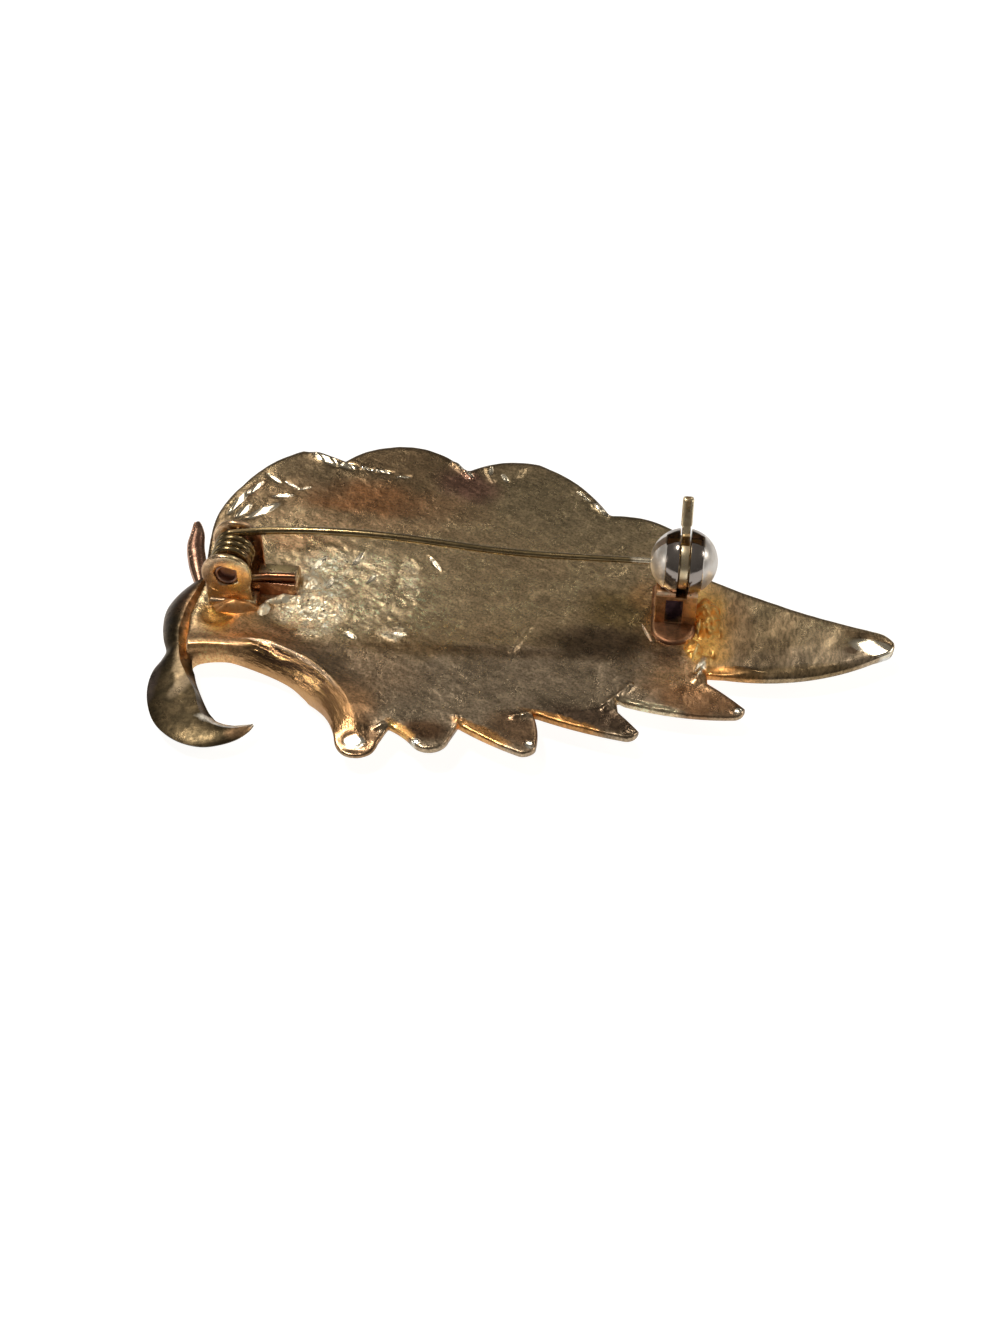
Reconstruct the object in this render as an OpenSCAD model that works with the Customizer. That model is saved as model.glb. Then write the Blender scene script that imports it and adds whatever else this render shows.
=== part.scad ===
// Leaf brooch lying on its front, with the back up: a cast leaf, a spring pin and a safety catch.
// +X runs along the pin from hinge to catch, +Y toward the scalloped edge, +Z up out of the back.
// The origin is the centre of the footprint on the surface that the brooch lies on.

/* [Leaf] */
// Grid cells along the leaf
cells_x = 56; // [40:1:60]
// Grid cells across the leaf
cells_y = 30; // [22:1:32]
// Longest straight piece of the outline's arcs
arc_step = 1.1; // [0.8:0.1:2.0]
// Least number of degrees that half an arc turns by for each of its pieces
arc_turn = 9; // [6:1:15]
// Height of the back at the middle of the leaf
back_z = 2.35; // [2.2:0.05:2.6]
// How much the back drops for each millimetre along +X
back_slope = 0.0144; // [0.00:0.0012:0.018]
// How fast the scalloped half of the back rises to its edge
dish_upper = 0.0022; // [0.001:0.0002:0.003]
// How fast the toothed half of the back rises to its edge
dish_lower = 0.0008; // [0.0004:0.0001:0.0015]
// Depth of the groove that the midrib makes on the front
groove_z = 0.7; // [0.3:0.1:1.0]
// Thickness of the leaf along its edge
edge_t = 0.8; // [0.6:0.05:1.0]
// Thickness of the leaf along the foot of the rounded wall
wall_edge_t = 0.35; // [0.3:0.05:0.6]
// Width of the rounded wall along the hollow edge by the stem
wall_w = 2.4; // [1.6:0.1:2.8]
// Height of that rounded wall
wall_drop = 1.9; // [1.4:0.1:2.0]

/* [Hinge] */
// Distance from the middle to the hinge axis
hinge_x = -23.07; // [-23.5:0.01:-22.5]
// Height of the hinge axis
hinge_z = 5.55; // [5.3:0.05:5.8]
// Outer radius of the two ears
ear_r = 1.95; // [1.8:0.05:2.0]
// Thickness of an ear
ear_t = 0.48; // [0.42:0.02:0.50]
// Radius of the hole in an ear
ear_hole_r = 0.95; // [0.9:0.01:1.0]
// Radius of the rivet
rivet_r = 0.90; // [0.85:0.01:0.92]
// Mean radius of the spring's turns
coil_r = 1.29; // [1.26:0.01:1.35]
// Number of turns, ending with a half turn so that the tail leaves below
coil_turns = 3.5; // [2.5:1:3.5]
// Distance from one turn to the next
coil_pitch = 0.66; // [0.64:0.01:0.68]
// Radius of the wire in the spring
wire_r = 0.31; // [0.26:0.01:0.32]

/* [Catch] */
// Distance from the middle to the catch's ball
ball_x = 11.7; // [11.5:0.1:12.0]
// Height of the ball's centre
ball_z = 7.45; // [7.3:0.05:7.6]
// Radius of the ball
ball_r = 2.55; // [2.45:0.05:2.6]
// Width of the slot that the lever's disc turns in
slot_w = 0.84; // [0.80:0.02:0.90]
// Thickness of the lever
lever_t = 0.66; // [0.60:0.02:0.70]
// Reach of the lever from the ball's centre
lever_reach = 4.95; // [4.6:0.05:5.0]
// Radius of the disc in the slot
disc_r = 2.1; // [2.0:0.05:2.2]
// Radius of the round passage in the lever's hub that holds the pin's point
passage_r = 0.60; // [0.55:0.01:0.65]
// Radius of the hole in the ball's side that the pin comes in through
entry_r = 0.42; // [0.40:0.01:0.50]

/* [Hidden] */
// Sides of round bores and discs, sides of a wire, and steps in one turn of the spring
fine = 48;
wire_sides = 12;
turn_steps = 18;
// Length of a tool that cuts right through
through = 10;

// Place across the leaf of the pin at the ball and at the spring
pin_y = -0.3;
arm_root_y = 0.1;

// Outline of the leaf, counter-clockwise from the tip: the corners, and how far the edge to
// the next corner bows out, as a share of half that edge's length. Columns: x, y, bow.
OUTLINE = [
  [28.2, -2.1, 0.25],     // tip
  [26.6, -0.9, -0.04],    // long plain edge beyond the catch
  [14.2, 3.9, 0.05],
  [13.3, 7.2, 0.30],      // fourth scallop, behind the catch
  [5.7, 10.7, 0.17],      // third scallop
  [-0.6, 16.3, 0.21],
  [-6.6, 14.8, 0.20],     // second scallop
  [-11.8, 17.3, 0.23],
  [-17.1, 14.9, 0.09],    // first scallop
  [-20.9, 15.8, 0.18],
  [-25.15, 10.9, 0.15],
  [-26.5, 5.0, 0.02],     // plain edge behind the hinge
  [-25.8, -0.6, 0.0],
  [-26.0, -5.0, 0.0],
  [-25.2, -9.2, -0.245],  // hollow edge beside the stem
  [-16.2, -11.1, -0.15],
  [-12.75, -16.1, 0.85],  // first round tooth
  [-9.5, -16.2, 0.0],
  [-8.9, -14.9, -0.10],   // second round tooth
  [-7.1, -16.2, 0.65],
  [-4.4, -15.6, 0.0],
  [-3.9, -14.2, 0.05],    // first pointed tooth
  [0.8, -16.4, 0.30],
  [1.9, -15.8, 0.14],
  [1.4, -12.4, 0.05],     // second pointed tooth
  [8.3, -14.0, 0.35],
  [9.2, -13.2, 0.03],
  [7.6, -11.4, 0.0],
  [7.4, -10.3, 0.10],     // third pointed tooth
  [16.2, -10.9, 0.35],
  [16.9, -9.9, 0.05],
  [14.1, -7.6, 0.0],
  [14.0, -6.6, 0.20],     // plain edge back to the tip
  [27.5, -3.4, 0.30]
];

// Band that the leaf's grid covers, a little wider than the outline. Columns: x, low y, high y.
BAND = [
  [-27.0, -9.9, 7.0],
  [-25.0, -9.9, 14.2],
  [-20.0, -10.2, 17.2],
  [-17.0, -11.6, 17.5],
  [-13.4, -17.9, 18.0],
  [-8.0, -18.1, 18.2],
  [2.0, -17.0, 17.4],
  [7.0, -15.2, 13.8],
  [13.6, -12.8, 10.6],
  [17.5, -10.6, 5.4],
  [22.0, -7.2, 1.6],
  [28.8, -4.6, 0.2]
];

// Body of the leaf without its teeth, for the puffed front. Columns: x, low y, high y.
BODY = [
  [-27.0, -9.2, 5.0],
  [-22.0, -9.4, 13.5],
  [-17.0, -10.8, 14.9],
  [-12.0, -14.6, 15.3],
  [-6.6, -14.4, 14.8],
  [1.0, -12.7, 13.0],
  [7.4, -10.4, 10.0],
  [14.2, -6.8, 5.2],
  [20.0, -6.2, 1.8],
  [28.8, -3.2, -1.4]
];
// Where each half of the front is lowest, as a share of the half's width
puff_t = 0.42;
// Line along the leaf that its back is lowest on
valley_y = 1;
// Raised lip inside the rounded wall: height, distance in from the wall's top, and spread
lip = [0.40, 0.2, 1.0];
// How the back rises near the tip, from an x on: x, and rise for each square millimetre
tip_rise = [12, 0.002];
// How the front rises toward the tip and toward the hinge end, in the same way
front_rise_tip = [8, 0.0035];
front_rise_hinge = [-17, 0.014];

// Circle that the hollow edge beside the stem follows
hollow_c = [-22.73, -19.62];
hollow_r = 10.72;

// Stem, from under the hinge round to its free tip, and the small sepal beside the hinge.
// Columns: x, y, z of the middle, half width, half thickness.
STEM = [
  [-25.5, -0.6, 2.25, 0.50, 0.70],
  [-26.1, -1.7, 2.20, 0.85, 0.90],
  [-26.5, -2.9, 2.15, 1.15, 1.00],
  [-26.7, -4.2, 2.05, 1.35, 1.00],
  [-26.6, -5.6, 1.95, 1.35, 0.95],
  [-26.4, -6.9, 1.90, 1.20, 0.90],
  [-26.1, -8.2, 1.80, 1.00, 0.80],
  [-26.05, -9.3, 1.75, 1.20, 0.75],
  [-26.05, -10.5, 1.65, 1.62, 0.72],
  [-25.8, -11.9, 1.60, 1.85, 0.70],
  [-25.3, -13.2, 1.50, 1.98, 0.70],
  [-24.6, -14.4, 1.45, 1.98, 0.65],
  [-23.6, -15.35, 1.40, 1.78, 0.62],
  [-22.4, -15.9, 1.35, 1.45, 0.56],
  [-21.3, -15.95, 1.35, 1.08, 0.48],
  [-20.3, -15.7, 1.35, 0.75, 0.38],
  [-19.5, -15.2, 1.35, 0.42, 0.28],
  [-19.05, -14.8, 1.35, 0.12, 0.14]
];
SEPAL = [
  [-25.9, -1.4, 2.3, 0.45, 0.50],
  [-26.7, 0.6, 2.4, 0.62, 0.55],
  [-27.4, 2.8, 2.5, 0.62, 0.50],
  [-27.75, 4.4, 2.6, 0.40, 0.40],
  [-27.9, 5.7, 2.7, 0.12, 0.15]
];

// Cross-section of the stem and the sepal: across and up, as shares of the half sizes
RIDGE = [
  [-1.0, -0.1], [-0.7, -0.75], [0.0, -1.0], [0.7, -0.75],
  [1.0, -0.1], [0.6, 0.5], [0.05, 1.0], [-0.65, 0.55]
];

// The pin's arm from the spring to its point. Columns: x, z, radius.
ARM = [
  [-23.07, 6.84, 0.31],
  [-20.5, 7.32, 0.31],
  [-17.3, 7.64, 0.31],
  [-13.5, 7.76, 0.31],
  [-10.0, 7.66, 0.30],
  [-6.5, 7.40, 0.29],
  [-3.0, 7.12, 0.28],
  [0.5, 7.02, 0.27],
  [4.5, 7.10, 0.25],
  [8.5, 7.22, 0.23],
  [11.7, 7.28, 0.20],
  [12.6, 7.30, 0.13],
  [13.15, 7.31, 0.04]
];
// The spring's tail beyond its last turn. Columns: x, y, z.
TAIL = [
  [-21.5, -2.0, 4.26],
  [-20.2, -1.78, 4.27],
  [-18.25, -1.7, 4.30]
];

// Small functions

// Points of one edge from p to q that bows out by a share b, without its last point
function edge_points(p, q, b) =
  let (c = q - p, len = norm(c))
  abs(b) < 0.001 ? [p] :
  let (
    h = b * len / 2,
    r = (len * len / 4 + h * h) / (2 * h),
    out = [c[1], -c[0]] / len,
    half = 2 * atan(b),
    n = max(ceil(len / arc_step), ceil(abs(half) / arc_turn))
  )
  [for (i = [0:n - 1])
    let (a = half * (2 * i / n - 1))
    (p + q) / 2 + c / len * r * sin(a) + out * (r * cos(a) - r + h)];

// The whole outline as points
function outline_points() =
  [for (i = [0:len(OUTLINE) - 1])
    let (a = OUTLINE[i], b = OUTLINE[(i + 1) % len(OUTLINE)])
    each edge_points([a[0], a[1]], [b[0], b[1]], a[2])];

// A column of a table of rows that start with x, read at x
function read_at(x, rows, column) = lookup(x, [for (r = rows) [r[0], r[column]]]);

// How far the rounded wall has dropped at a distance d inside the hollow edge
function wall_fall(d) =
  d >= wall_w ? 0 : wall_drop * (1 - sqrt(1 - pow(1 - max(0, d) / wall_w, 2)));

// Height of the leaf's back
function back_at(x, y) =
  let (
    d = norm([x, y] - hollow_c) - hollow_r,
    dish = (y > valley_y ? dish_upper : dish_lower) * pow(y - valley_y, 2),
    rim = lip[0] * exp(-pow((d - wall_w - lip[1]) / lip[2], 2)),
    tip = tip_rise[1] * pow(max(0, x - tip_rise[0]), 2)
  )
  back_z - back_slope * x + dish + tip + rim - wall_fall(d);

// Height of the leaf's front: two puffed halves with a groove between them, rising to the edge
function front_at(x, y) =
  let (
    lo = read_at(x, BODY, 1),
    hi = read_at(x, BODY, 2),
    a = min(1, abs(2 * (y - lo) / (hi - lo) - 1)),
    d = norm([x, y] - hollow_c) - hollow_r,
    skin = wall_edge_t + (edge_t - wall_edge_t) * min(1, max(0, d) / wall_w),
    rim = back_at(x, y) - skin,
    share = a < puff_t ? 0 : pow((a - puff_t) / (1 - puff_t), 2),
    groove = a < puff_t ? groove_z * pow(1 - a / puff_t, 2) : 0,
    tip = front_rise_tip[1] * pow(max(0, x - front_rise_tip[0]), 2),
    ends = tip + front_rise_hinge[1] * pow(max(0, front_rise_hinge[0] - x), 2)
  )
  min(rim, groove + rim * share + ends * (1 - share));

// Where a ring of n points stands at place i along a swept path
function ring_faces(rings, n) =
  [for (i = [0:rings - 2], k = [0:n - 1])
    let (a = i * n + k, b = i * n + (k + 1) % n)
    each [[a, a + n, b], [b, a + n, b + n]]];

// The two end caps of a swept path, as fans of triangles
function cap_faces(rings, n) =
  concat(
    [for (k = [1:n - 2]) [0, k, k + 1]],
    [for (k = [1:n - 2]) [(rings - 1) * n, (rings - 1) * n + k + 1, (rings - 1) * n + k]]
  );

// Direction of travel at point i of a path
function travel(path, i) =
  let (
    a = path[max(0, i - 1)],
    b = path[min(len(path) - 1, i + 1)]
  )
  (b - a) / norm(b - a);

// Shapes that several pieces use

// A path with the ridge's cross-section, laid flat. Rows: x, y, z, half width, half thickness.
module ridge_sweep(rows) {
  n = len(RIDGE);
  path = [for (r = rows) [r[0], r[1], 0]];
  points = [for (i = [0:len(rows) - 1], s = RIDGE)
    let (t = travel(path, i), side = [-t[1], t[0], 0], r = rows[i])
    [r[0], r[1], r[2]] + side * s[0] * r[3] + [0, 0, s[1] * r[4]]];
  polyhedron(points, concat(ring_faces(len(rows), n), cap_faces(len(rows), n)));
}

// A round wire along a path that stays nearly square to Y. Rows: x, y, z, radius.
module wire_sweep(rows) {
  path = [for (r = rows) [r[0], r[1], r[2]]];
  points = [for (i = [0:len(rows) - 1], k = [0:wire_sides - 1])
    let (
      t = travel(path, i),
      flat = [0, 1, 0] - t * t[1],
      u = flat / norm(flat),
      v = cross(t, u),
      a = 360 * k / wire_sides
    )
    path[i] + rows[i][3] * (u * cos(a) + v * sin(a))];
  polyhedron(points, concat(ring_faces(len(rows), wire_sides), cap_faces(len(rows), wire_sides)));
}

// A cylinder of length h centred on a point, with its axis along X or Y
module rod_x(p, r, h) {
  translate(p) rotate([0, 90, 0]) cylinder(r = r, h = h, center = true, $fn = fine);
}
module rod_y(p, r, h) {
  translate(p) rotate([90, 0, 0]) cylinder(r = r, h = h, center = true, $fn = fine);
}

// The leaf and what is soldered to it

// The leaf's thickness as a closed grid, wider than the outline
module leaf_slab() {
  row = cells_y + 1;
  side = (cells_x + 1) * row;
  grid = [for (i = [0:cells_x], j = [0:cells_y])
    let (
      x = BAND[0][0] + (BAND[len(BAND) - 1][0] - BAND[0][0]) * i / cells_x,
      lo = read_at(x, BAND, 1)
    )
    [x, lo + (read_at(x, BAND, 2) - lo) * j / cells_y]];
  points = concat(
    [for (g = grid) [g[0], g[1], back_at(g[0], g[1])]],
    [for (g = grid) [g[0], g[1], front_at(g[0], g[1])]]
  );
  inner = [for (i = [0:cells_x - 1], j = [0:cells_y - 1])
    let (a = i * row + j, b = a + row)
    each [
      [a, a + 1, b + 1], [a, b + 1, b],
      [side + a, side + b + 1, side + a + 1], [side + a, side + b, side + b + 1]
    ]];
  long_sides = [for (i = [0:cells_x - 1])
    let (a = i * row, b = a + row, c = a + cells_y, d = b + cells_y)
    each [
      [a, b, side + b], [a, side + b, side + a],
      [c, side + d, d], [c, side + c, side + d]
    ]];
  short_sides = [for (j = [0:cells_y - 1])
    let (a = j, b = cells_x * row + j)
    each [
      [a, side + a + 1, a + 1], [a, side + a, side + a + 1],
      [b, b + 1, side + b + 1], [b, side + b + 1, side + b]
    ]];
  polyhedron(points, concat(inner, long_sides, short_sides));
}

module leaf_plate() {
  intersection() {
    translate([0, 0, -1]) linear_extrude(height = 6) polygon(outline_points());
    leaf_slab();
  }
}

// Sizes of the hinge bracket: outer faces of the two ears, half widths of their posts,
// where the bracket starts inside the leaf, its base plate, and its stop tab
near_y = -3.5;
far_y = 1.0;
near_post_w = 1.55;
far_post_w = ear_r;
sunk_z = 1.8;
plate_w = 1.7;
plate_top = 2.95;
tab_x = [-21.2, -18.15];
tab_y = [-1.28, -0.06];
tab_top = 4.10;
// The low end of the tab that the tail lies on
rest_x = [-19.3, -18.1];
rest_y = [-2.05, 0.05];
rest_top = 3.89;

// A box between two limits on each axis
module box(xs, ys, zs) {
  translate([xs[0], ys[0], zs[0]]) cube([xs[1] - xs[0], ys[1] - ys[0], zs[1] - zs[0]]);
}

// Two ears on a base plate, with the stop that the spring's tail lies beside
module bracket() {
  box([hinge_x - plate_w, hinge_x + plate_w], [near_y, far_y], [sunk_z, plate_top]);
  difference() {
    union() {
      ear(near_y + ear_t / 2, near_post_w);
      ear(far_y - ear_t / 2, far_post_w);
    }
    rod_y([hinge_x, (near_y + far_y) / 2, hinge_z], ear_hole_r, through);
  }
  box(tab_x, tab_y, [sunk_z, tab_top]);
  box(rest_x, rest_y, [sunk_z, rest_top]);
}

// One ear: a round eye on a post of half width w
module ear(y, w) {
  rod_y([hinge_x, y, hinge_z], ear_r, ear_t);
  box([hinge_x - w, hinge_x + w], [y - ear_t / 2, y + ear_t / 2], [sunk_z + 0.4, hinge_z]);
}

// Sizes of the catch's foot: its two legs, the window between them and the pad below
legs_x = [9.8, 12.95];
legs_y = [-1.9, 1.3];
legs_top = 5.75;
window_x = [10.6, 11.9];
window_top = 4.25;
pad_x = 11.3;
pad_half = [1.75, 0.95];
pad_y = [-4.1, -3.2, 2.4, 3.1];
pad_z = [1.7, 2.5];
// The slot's floor, and the bearing and hub that the lever turns on: radius and length
slot_floor = 5.1;
bearing = [1.02, 2.9];
hub = [0.95, 2.6];
// Half length of the wide mouth above the hub, and height of the pin where it comes in
mouth_half = 1.45;
entry_z = 7.28;

// The ball on its two legs and its pad, with the slot, the bearing and the mouth for the pin
module catch_body() {
  difference() {
    union() {
      translate([ball_x, pin_y, ball_z]) sphere(r = ball_r, $fn = fine);
      box(legs_x, legs_y, [pad_z[0], legs_top]);
    }
    box([ball_x - slot_w / 2, ball_x + slot_w / 2], [-through, through], [slot_floor, through + slot_floor]);
    box(window_x, [-through, through], [pad_z[1], window_top]);
    rod_x([ball_x, pin_y, ball_z], bearing[0], bearing[1]);
    rod_x([ball_x, pin_y, ball_z], passage_r, 2 * mouth_half);
    mouth(passage_r, mouth_half, mouth_half, ball_z);
    rod_x([ball_x - through / 2, pin_y, entry_z], entry_r, through);
    mouth(entry_r - 0.02, through, 0, entry_z);
  }
  translate([pad_x, 0, pad_z[0]]) linear_extrude(height = pad_z[1] - pad_z[0])
    polygon([
      [-pad_half[0], pad_y[1]], [-pad_half[1], pad_y[0]], [pad_half[1], pad_y[0]], [pad_half[0], pad_y[1]],
      [pad_half[0], pad_y[2]], [pad_half[1], pad_y[3]], [-pad_half[1], pad_y[3]], [-pad_half[0], pad_y[2]]
    ]);
}

// What is cut upward from a height z so that the pin can rise out: half width w, and how far it
// runs to the hinge's side and to the tip's side of the ball's centre
module mouth(w, hinge_side, tip_side, z) {
  box([ball_x - hinge_side, ball_x + tip_side], [pin_y - w, pin_y + w], [z, z + through]);
}

module leaf() {
  color("goldenrod") {
    leaf_plate();
    ridge_sweep(STEM);
    ridge_sweep(SEPAL);
    bracket();
    catch_body();
  }
}

// The pieces that are not soldered on

// How far each end of the rivet lies inside its ear's outer face
rivet_inset = 0.15;

module hinge_rivet() {
  color("darkgoldenrod")
    rod_y([hinge_x, (near_y + far_y) / 2, hinge_z], rivet_r, far_y - near_y - 2 * rivet_inset);
}

// One wire: point, arm, spring and tail
module pin_stem() {
  arm = [for (i = [len(ARM) - 1:-1:1])
    let (r = ARM[i], s = (r[0] - hinge_x) / (ball_x - hinge_x))
    [r[0], arm_root_y + (pin_y - arm_root_y) * min(1, s), r[1], r[2]]];
  spring = [for (i = [0:turn_steps * coil_turns])
    let (turns = i / turn_steps, a = 360 * turns)
    [hinge_x - coil_r * sin(a), arm_root_y - coil_pitch * turns, hinge_z + coil_r * cos(a), wire_r]];
  tail = [for (r = TAIL) [r[0], r[1], r[2], wire_r]];
  color("gold") wire_sweep(concat(arm, spring, tail));
}

// The lever's lean away from upright, its half width, where it starts in the disc, and the
// half width of the disc's cut
lever_lean = 45;
lever_w = 0.45;
lever_root = 1.4;
cut_w = 0.55;

// The catch's disc with its hub and its lever, drawn open: its cut faces up
module safety_lever() {
  color("khaki") {
    difference() {
      union() {
        rod_x([ball_x, pin_y, ball_z], disc_r, lever_t);
        rod_x([ball_x, pin_y, ball_z], hub[0], hub[1]);
      }
      rod_x([ball_x, pin_y, ball_z], passage_r, through);
      mouth(cut_w, through, through, ball_z);
    }
    translate([ball_x, pin_y, ball_z]) rotate([-lever_lean, 0, 0]) {
      box([-lever_t / 2, lever_t / 2], [-lever_w, lever_w], [lever_root, lever_reach - lever_w]);
      rod_x([0, 0, lever_reach - lever_w], lever_w, lever_t);
    }
  }
}

leaf();
hinge_rivet();
pin_stem();
safety_lever();
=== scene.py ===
"""Looks of a cast leaf brooch that lies on its front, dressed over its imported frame.

Sizes in this file are in millimetres; a mesh is scaled to metres when its object is made.
"""

import logging
import math
from dataclasses import dataclass, field
from enum import Enum
from typing import Callable, Sequence

import bmesh
import bpy
import numpy as np
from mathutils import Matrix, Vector
from mathutils.geometry import delaunay_2d_cdt

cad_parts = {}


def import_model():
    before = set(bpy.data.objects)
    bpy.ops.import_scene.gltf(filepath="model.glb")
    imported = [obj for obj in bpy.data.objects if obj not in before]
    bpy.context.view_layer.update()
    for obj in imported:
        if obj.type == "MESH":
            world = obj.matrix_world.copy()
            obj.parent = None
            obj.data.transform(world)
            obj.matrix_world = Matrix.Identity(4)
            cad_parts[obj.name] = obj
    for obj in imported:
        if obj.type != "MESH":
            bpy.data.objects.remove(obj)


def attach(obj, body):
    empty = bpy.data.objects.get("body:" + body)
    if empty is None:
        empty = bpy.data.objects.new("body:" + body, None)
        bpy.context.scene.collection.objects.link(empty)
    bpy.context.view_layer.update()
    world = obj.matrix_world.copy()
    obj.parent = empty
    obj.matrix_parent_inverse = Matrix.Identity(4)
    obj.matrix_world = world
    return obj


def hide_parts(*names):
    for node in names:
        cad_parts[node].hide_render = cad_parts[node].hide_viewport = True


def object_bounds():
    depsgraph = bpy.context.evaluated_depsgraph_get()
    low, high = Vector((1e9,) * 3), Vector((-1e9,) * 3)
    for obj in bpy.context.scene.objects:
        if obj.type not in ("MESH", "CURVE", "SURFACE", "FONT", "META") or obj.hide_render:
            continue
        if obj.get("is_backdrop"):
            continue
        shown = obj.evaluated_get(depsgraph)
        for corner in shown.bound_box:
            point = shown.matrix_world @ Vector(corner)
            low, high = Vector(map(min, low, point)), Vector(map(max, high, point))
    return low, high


LOG = logging.getLogger("leaf_brooch")
MM = 0.001
# Place of the photograph's camera, and how far away the lamps hang
EYE = (8.0, -97.8, 92.8)
LAMP_AWAY = 420.0

Row = tuple[float, ...]
Point2 = tuple[float, float]
Loop2 = list[Point2]
Socket = bpy.types.NodeSocket
Material = bpy.types.Material


class Body(Enum):
    """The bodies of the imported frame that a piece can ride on."""

    BROOCH = "brooch"
    PIN = "pin"
    LEVER = "lever"


class Slot(Enum):
    """The record's material slots."""

    LEAF = "leaf_gold"
    FINDING = "finding_gold"
    WIRE = "wire_gold"


class Plane(Enum):
    """The plane of a plate's outline: which of its two axes or its thickness gives X, Y and Z."""

    XY = (0, 1, 2)
    XZ = (0, 2, 1)
    YZ = (2, 0, 1)


class Glint(Enum):
    """Which lamp a small facet of the back mirrors, as the lamp's direction."""

    LEFT = (-0.44, 0.58, 0.68)
    OVER = (-0.32, 0.02, 0.95)
    RIGHT = (0.33, 0.64, 0.69)

    def slope(self, x: float, y: float) -> np.ndarray:
        """The slope along X and Y that mirrors the lamp into the photograph's camera.

        Args:
            x: Place along X.
            y: Place along Y.

        Returns:
            The two slopes.
        """
        spot = np.array([x, y, 2.6])
        eye = np.array(EYE) - spot
        lamp = np.array(self.value) / np.linalg.norm(self.value) * LAMP_AWAY - spot
        middle = eye / np.linalg.norm(eye) + lamp / np.linalg.norm(lamp)
        return -middle[:2] / middle[2]


# Small helpers for points and meshes


@dataclass
class MeshData:
    """Corners and faces of one closed skin or of several.

    Attributes:
        verts: Corners in millimetres, one row each.
        faces: Corner numbers of each face.
        marks: Named values at the corners, for the finishes to read.
    """

    verts: np.ndarray
    faces: list[tuple[int, ...]]
    marks: dict[str, np.ndarray] = field(default_factory=dict)


def joined(parts: Sequence[MeshData]) -> MeshData:
    """Puts several skins into one.

    Args:
        parts: The skins.

    Returns:
        One MeshData that holds them all.
    """
    verts: list[np.ndarray] = []
    faces: list[tuple[int, ...]] = []
    start = 0
    for part in parts:
        verts.append(part.verts)
        faces += [tuple(start + i for i in face) for face in part.faces]
        start += len(part.verts)
    return MeshData(np.vstack(verts), faces)


def smooth_rows(rows: Sequence[Row], steps: int) -> np.ndarray:
    """Reads a smooth line through the rows of a table.

    Args:
        rows: The table.
        steps: How many rows to make from each one.

    Returns:
        The finer table, with the first and last rows kept.
    """
    table = np.array(rows, float)
    before = np.vstack([table[0], table, table[-1]])
    fine = []
    for i in range(len(table) - 1):
        a, b, c, d = before[i : i + 4]
        for k in range(steps):
            t = k / steps
            cubic = (3 * b - a - 3 * c + d) * t**3
            fine.append(0.5 * (2 * b + (c - a) * t + (2 * a - 5 * b + 4 * c - d) * t**2 + cubic))
    fine.append(table[-1])
    return np.array(fine)


def ripple(x: np.ndarray, y: np.ndarray, length: float, seed: int) -> np.ndarray:
    """Gentle waviness with no direction of its own, between about -1 and 1.

    Args:
        x: Places along X.
        y: Places along Y.
        length: Distance from one crest to the next.
        seed: Which of many such surfaces to read.

    Returns:
        The waviness at each place.
    """
    rng = np.random.default_rng(seed)
    total = np.zeros_like(x, dtype=float)
    waves = 9
    for _ in range(waves):
        turn = rng.uniform(0, 2 * math.pi)
        phase = rng.uniform(0, 2 * math.pi)
        k = 2 * math.pi / length * rng.uniform(0.7, 1.4)
        total += np.sin(k * (x * math.cos(turn) + y * math.sin(turn)) + phase)
    return total / (0.6 * waves)


def distance_to_segments(points: np.ndarray, a: np.ndarray | Row, b: np.ndarray | Row) -> np.ndarray:
    """Distance from each point to the nearest of several segments in the plane.

    Args:
        points: Places, one row each.
        a: First ends of the segments.
        b: Second ends of the segments.

    Returns:
        One distance a point.
    """
    a, b = np.atleast_2d(a), np.atleast_2d(b)
    best = np.full(len(points), 1e9)
    for start in range(0, len(points), 2000):
        p = points[start : start + 2000, None, :]
        run = (b - a)[None]
        share = ((p - a[None]) * run).sum(2) / (run**2).sum(2)
        near = a[None] + np.clip(share, 0, 1)[..., None] * run
        best[start : start + 2000] = np.sqrt(((p - near) ** 2).sum(2)).min(1)
    return best


def loft(rings: np.ndarray, capped: bool = True) -> MeshData:
    """Skins a row of rings that have the same number of points.

    Args:
        rings: Points by ring, point and axis.
        capped: Whether the first and last rings are closed.

    Returns:
        The skin.
    """
    count, size = rings.shape[:2]
    faces: list[tuple[int, ...]] = []
    for i in range(count - 1):
        for k in range(size):
            a, b = i * size + k, i * size + (k + 1) % size
            faces.append((a, a + size, b + size, b))
    if capped:
        faces.append(tuple(range(size)))
        faces.append(tuple(range(count * size - 1, (count - 1) * size - 1, -1)))
    return MeshData(rings.reshape(-1, 3), faces)


def lathe(profile: Sequence[Point2], centre: Row, along: int, sides: int) -> MeshData:
    """Turns a closed profile round one axis.

    Args:
        profile: Places along the axis and radii, as a closed loop.
        centre: The point that the profile is measured from.
        along: The axis: 0 for X, 1 for Y, 2 for Z.
        sides: How many steps make a full turn.

    Returns:
        The turned skin.
    """
    u, v = (along + 1) % 3, (along + 2) % 3
    rings = np.zeros((sides, len(profile), 3))
    for i in range(sides):
        turn = 2 * math.pi * i / sides
        for k, (w, r) in enumerate(profile):
            rings[i, k, along] = centre[along] + w
            rings[i, k, u] = centre[u] + r * math.cos(turn)
            rings[i, k, v] = centre[v] + r * math.sin(turn)
    size = len(profile)
    faces = []
    for i in range(sides):
        for k in range(size):
            a, b = i * size + k, i * size + (k + 1) % size
            c, d = (b + size) % (sides * size), (a + size) % (sides * size)
            if profile[k][1] > 1e-6 or profile[(k + 1) % size][1] > 1e-6:
                faces.append((a, b, c, d))
    return MeshData(rings.reshape(-1, 3), faces)


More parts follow.
